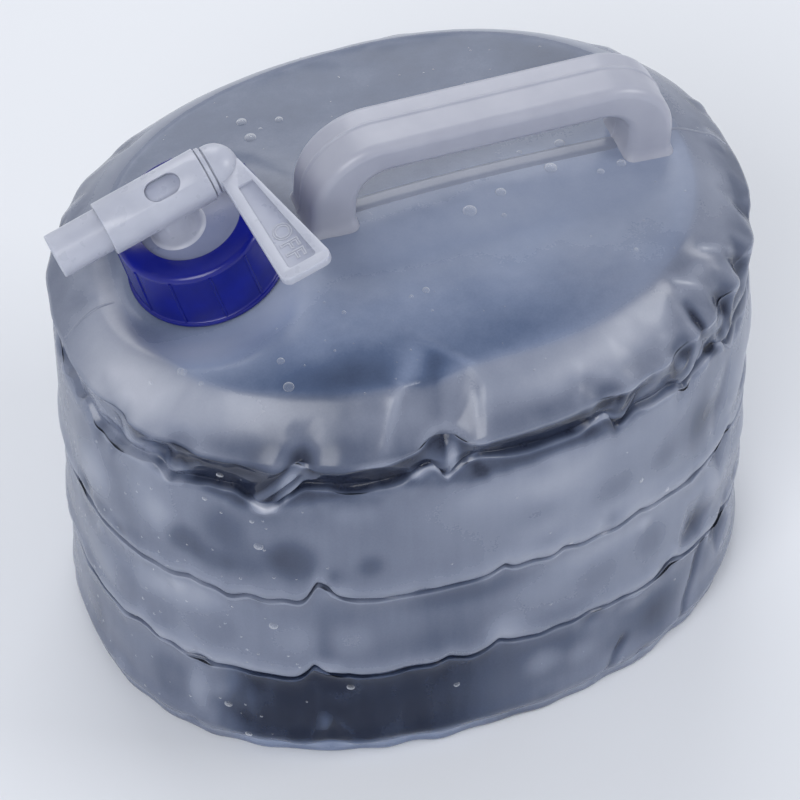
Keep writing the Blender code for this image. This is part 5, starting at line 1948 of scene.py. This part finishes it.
        # The tube seen through the window and the pocket's floor take the darker copy as painted shade in
        # those recesses
        pieces = ((self._tube(), lambda middle: -9.0 < middle.x < 20.0),
                  (self._lever(), lambda middle: abs(middle.z - floor) < 0.05),
                  (self._word(), lambda middle: False))
        for item, in_painted_shade in pieces:
            dressed(item, finish)
            dressed_partly(item, painted_shade_finish, in_painted_shade)
            item.data.transform(PLACES.tap)
            shaded(item, 40.0)
            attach(item, "spindle")
            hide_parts("tap_spindle")
            logged(item)


# Water drops

@dataclass
class Drops:
    """Beads of water on the film: the large ones stand in known places, the fine spray is seeded."""

    seed: int = 23
    flatness: float = 0.42
    fine_count: int = 150
    on_top: tuple[Point3, ...] = (
        (-41, 59, 2), (-28, 54, 1.5), (-41, 49, 2.2), (20, -18, 2.6), (34, -13, 2), (48, 4, 1), (64, 4, 2),
        (56, -7, 2.4), (73, -14, 1.4), (82, -12, 1.8), (-8, -47, 1.3), (-14, -48, 0.8), (-68, -68, 2),
        (-67, -57, 1.4), (31, -24, 0.9), (71, -53, 0.9), (-39, -46, 0.8), (-100, -47, 1.2), (-111, -42, 1),
        (-101, -46, 1.3), (-96, -54, 0.9), (-36, 52, 0.7), (10, 46, 0.7),
    )
    on_walls: tuple[Point3, ...] = (
        (-119, 89.5, 1.9), (-86, 90, 1.9), (-86, 77, 1.7), (-90, 122.5, 1.8), (-71, 49, 1.4),
        (-58, 40.7, 1.5), (-106, 23, 1.6), (-125, 151.5, 1.5), (-105, 154.5, 1.4), (-110, 143, 1),
        (2, 94.7, 1.3), (-17, 33, 1.2), (-98, 10, 1.4), (-92, 136, 0.9), (60, 112, 1), (28, 97, 0.8),
        (72, 98, 1),
    )

    def tree(self, finish: Material) -> Nodes:
        """The Geometry Nodes tree that stands a flattened bead on each point.

        Args:
            finish: the beads' material.

        Returns:
            The tree. Each point carries its bead's "size" in metres and its "out" direction.
        """
        tree = new_tree("water_beads", {"Geometry": "Geometry", "Detail": "Int", "Flatness": "Float"})
        given = add_node(tree, "NodeGroupInput").outputs
        points = add_node(tree, "GeometryNodeMeshToPoints", {"Mesh": given["Geometry"]}).outputs[0]
        ball = add_node(tree, "GeometryNodeMeshIcoSphere", {"Radius": 1.0, "Subdivisions": given["Detail"]})
        shape = add_node(tree, "ShaderNodeCombineXYZ", {"X": 1.0, "Y": 1.0, "Z": given["Flatness"]})
        bead = add_node(tree, "GeometryNodeTransform", {
            "Geometry": ball.outputs[0], "Scale": shape.outputs[0]})
        size = add_node(tree, "GeometryNodeInputNamedAttribute", {"Name": "size"}, data_type="FLOAT")
        out = add_node(tree, "GeometryNodeInputNamedAttribute", {"Name": "out"}, data_type="FLOAT_VECTOR")
        turn = add_node(tree, "FunctionNodeAlignRotationToVector", {"Vector": out.outputs["Attribute"]},
                        axis="Z")
        beads = add_node(tree, "GeometryNodeInstanceOnPoints", {
            "Points": points, "Instance": bead.outputs[0], "Rotation": turn.outputs[0],
            "Scale": size.outputs["Attribute"]})
        end_tree(tree, beads.outputs[0], finish)
        return tree

    def build(self, body: FilmBody, finish: Material) -> None:
        """Builds the beads of each moving piece of the film."""
        tree = self.tree(finish)
        spots: dict[Part, list[tuple[Vector, Vector, float]]] = {part: [] for part in FOLDS}
        for x, y, size in self.on_top:
            spots[Part.TOP].append((*body.on_top(x, y), size))
        rng = np.random.default_rng(self.seed)
        walls = list(self.on_walls)
        for _ in range(self.fine_count):
            arc = rng.choice([rng.normal(-125.0, 28.0), rng.uniform(-378.0, 378.0)], p=[0.72, 0.28])
            walls.append((float(arc), float(rng.uniform(9.0, 158.0)), float(rng.uniform(0.28, 0.62))))
        for arc, height, size in walls:
            for part, low, high in ((Part.TIER_4, 8, 41), (Part.TIER_3, 50, 88), (Part.TIER_2, 97, 144),
                                    (Part.TIER_1, 152, 160)):
                if low <= height <= high:
                    spots[part].append((*body.on_wall(arc, height), size))
        for _ in range(self.fine_count // 2):
            turn, share = rng.uniform(0.0, FULL_TURN), rng.uniform(0.45, 0.93)
            x, y = 132.0 * share * math.cos(turn), 102.0 * share * math.sin(turn)
            if math.hypot(x + 74.5, y) > 40.0 and not (abs(y) < 14.0 and -42.0 < x < 106.0):
                spots[Part.TOP].append((*body.on_top(x, y), float(rng.uniform(0.22, 0.5))))
        for part, beads in spots.items():
            if not beads:
                continue
            mesh = bpy.data.meshes.new("beads")
            places = [tuple((spot + normal * size * 0.02) * MM) for spot, normal, size in beads]
            mesh.from_pydata(places, [], [])
            sizes = mesh.attributes.new("size", "FLOAT", "POINT")
            sizes.data.foreach_set("value", [size * MM for _, _, size in beads])
            outs = mesh.attributes.new("out", "FLOAT_VECTOR", "POINT")
            outs.data.foreach_set("vector", [c for _, normal, _ in beads for c in normal])
            fold = FOLDS[part]
            values = {"Detail": 3, "Flatness": self.flatness}
            item = evaluated_tree("water_beads_" + part.value, mesh, tree, values)
            dressed(item, finish)
            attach(item, fold.body)
            fold_piece(item, fold)
            LOG.info("%s: %d beads", item.name, len(beads))


# Studio

@dataclass(frozen=True)
class SoftBox:
    """A square soft light that points at the object. Places are metres."""

    name: str
    place: Point3
    size: float
    watts: float
    colour: str = "#ffffff"


@dataclass
class Studio:
    """A pale floor, plain soft light and the camera."""

    camera_place: Point3 = (-0.4322, -1.1848, 1.5090)
    target: Point3 = (0.0097, 0.0305, 0.0455)
    lens: float = 224.55
    roll: float = -0.77
    floor_half: float = 8.0
    aim: Point3 = (0.0, 0.0, 0.12)
    backdrop: str = "#eef0f4"
    horizon: float = 0.95
    zenith: float = 0.28
    horizon_rise: float = 0.1
    boxes: tuple[SoftBox, ...] = (
        SoftBox("key_box", (-1.0, -1.1, 1.6), 1.1, 21.0),
        SoftBox("side_box", (1.6, -0.6, 1.3), 0.8, 12.0),
        SoftBox("back_box", (0.3, 1.5, 1.5), 1.4, 17.0),
    )

    def camera(self) -> None:
        """Sets the camera to the photograph's view."""
        place, target = Vector(self.camera_place), Vector(self.target)
        back = (place - target).normalized()
        right = Vector((0.0, 0.0, 1.0)).cross(back).normalized()
        up = back.cross(right)
        r = math.radians(self.roll)
        right, up = right * math.cos(r) + up * math.sin(r), up * math.cos(r) - right * math.sin(r)
        data = bpy.data.cameras.new("camera")
        data.lens, data.sensor_width = self.lens, 36.0
        data.clip_start, data.clip_end = 0.05, 50.0
        item = new_object("camera", data)
        turn = Matrix((right, up, back)).transposed().to_4x4()
        item.matrix_world = Matrix.Translation(place) @ turn
        bpy.context.scene.camera = item

    def lights(self) -> None:
        """Hangs the soft boxes."""
        for box in self.boxes:
            data = bpy.data.lights.new(box.name, "AREA")
            data.shape = "SQUARE"
            data.size = box.size
            data.energy = box.watts
            data.color = linear(box.colour)[:3]
            item = new_object(box.name, data)
            item.location = box.place
            away = Vector(box.place) - Vector(self.aim)
            item.rotation_euler = away.to_track_quat("Z", "Y").to_euler()

    def world(self) -> None:
        """A surround that is pale at the horizon and dimmer overhead."""
        world = bpy.data.worlds.new("studio")
        bpy.context.scene.world = world
        world.use_nodes = True
        tree = world.node_tree
        shader = tree.nodes["Background"]
        shader.inputs["Color"].default_value = linear(self.backdrop)
        way = add_node(tree, "ShaderNodeTexCoord").outputs["Generated"]
        rise = add_node(tree, "ShaderNodeSeparateXYZ", {"Vector": way}).outputs["Z"]
        strength = ranged(tree, rise, self.horizon, self.zenith, self.horizon_rise, 1.0)
        tree.links.new(strength, shader.inputs["Strength"])

    def floor(self, paper: Material) -> None:
        """Lays the floor just under the base."""
        half = self.floor_half / MM
        corners = [(-half, -half, 0.0), (half, -half, 0.0), (half, half, 0.0), (-half, half, 0.0)]
        mesh = mesh_of("floor", corners, [(0, 1, 2, 3)])
        item = new_object("floor", mesh)
        item.location.z = -0.1 * MM
        dressed(item, paper)

    def build(self, paper: Material) -> None:
        """Builds the whole studio."""
        bpy.context.scene.view_settings.view_transform = "Standard"
        self.camera()
        self.lights()
        self.world()
        self.floor(paper)
        LOG.info("studio")


# The carrier

def dress_seals() -> None:
    """Gives the carried-over seals their materials."""
    # Moulded silicone: matt, slightly translucent grey-white
    silicone = MouldedPlastic("moulded_silicone_seal", "#b9bcc4", "#a9adb7", 0.5, 1.42, scatter=0.2).make()
    # Nitrile rubber: black, matt, with a bloom of talc
    rubber = MouldedPlastic("moulded_nitrile_rubber", "#1b1c1e", "#26282b", 0.6, 1.52).make()
    for name, finish in (("neck_gasket", silicone), ("front_o_ring", rubber), ("back_o_ring", rubber)):
        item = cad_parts[name]
        for held in item.material_slots:
            held.material = finish
        if not item.material_slots:
            item.data.materials.append(finish)


def main() -> None:
    """Builds and dresses the carrier from the film body to the tap, then the studio around it."""
    logging.basicConfig(level=logging.INFO, format="%(message)s")
    film = MilkyFilmWithPaintedLight().make()
    # Low-density polyethylene, blow-moulded thicker than the film: milky right through, with a satin skin
    handle_plastic = MouldedPlastic("blow_moulded_ldpe_handle", "#a3a6b4", "#9da0af", 0.33, 1.51,
                                    scatter=0.35, scatter_reach=5.0).make()
    # Polypropylene with blue master batch, injection-moulded in a polished tool: deep and glossy
    cap_plastic = MouldedPlastic("moulded_blue_polypropylene", "#05127c", "#050e6c", 0.22, 1.49,
                                 skin_depth=0.008).make()
    # Natural polypropylene, injection-moulded: white, faintly bluish and translucent in thin walls. Its two
    # darker copies are painted shade: one in the recesses of the barrel's window and the lever's pocket, and
    # a darker bluish one on the flange, which lies in the ring's shadow over the neck's dark mouth.
    tap_plastic, recess_shade_plastic, flange_shade_plastic = (
        MouldedPlastic("moulded_natural_polypropylene" + place, base, shade, 0.3, 1.49,
                       scatter=0.3, scatter_reach=2.5).make()
        for place, base, shade in (("", "#b0b4c2", "#a9adbc"), ("_painted_recess_shade", "#9ca1b3", "#959aad"),
                                   ("_painted_flange_shade", "#7c839e", "#747b97")))
    body = FilmBody()
    body.build(film)
    Neck().build(handle_plastic)
    MouldLines().build(body, film)
    Handle().build(body, handle_plastic)
    ScrewRing().build(cap_plastic)
    TapBody().build(tap_plastic, flange_shade_plastic)
    Spindle().build(tap_plastic, recess_shade_plastic)
    dress_seals()
    Drops().build(body, WaterBead().make())
    Studio().build(StudioPaper().make())


if __name__ == "__main__":
    main()
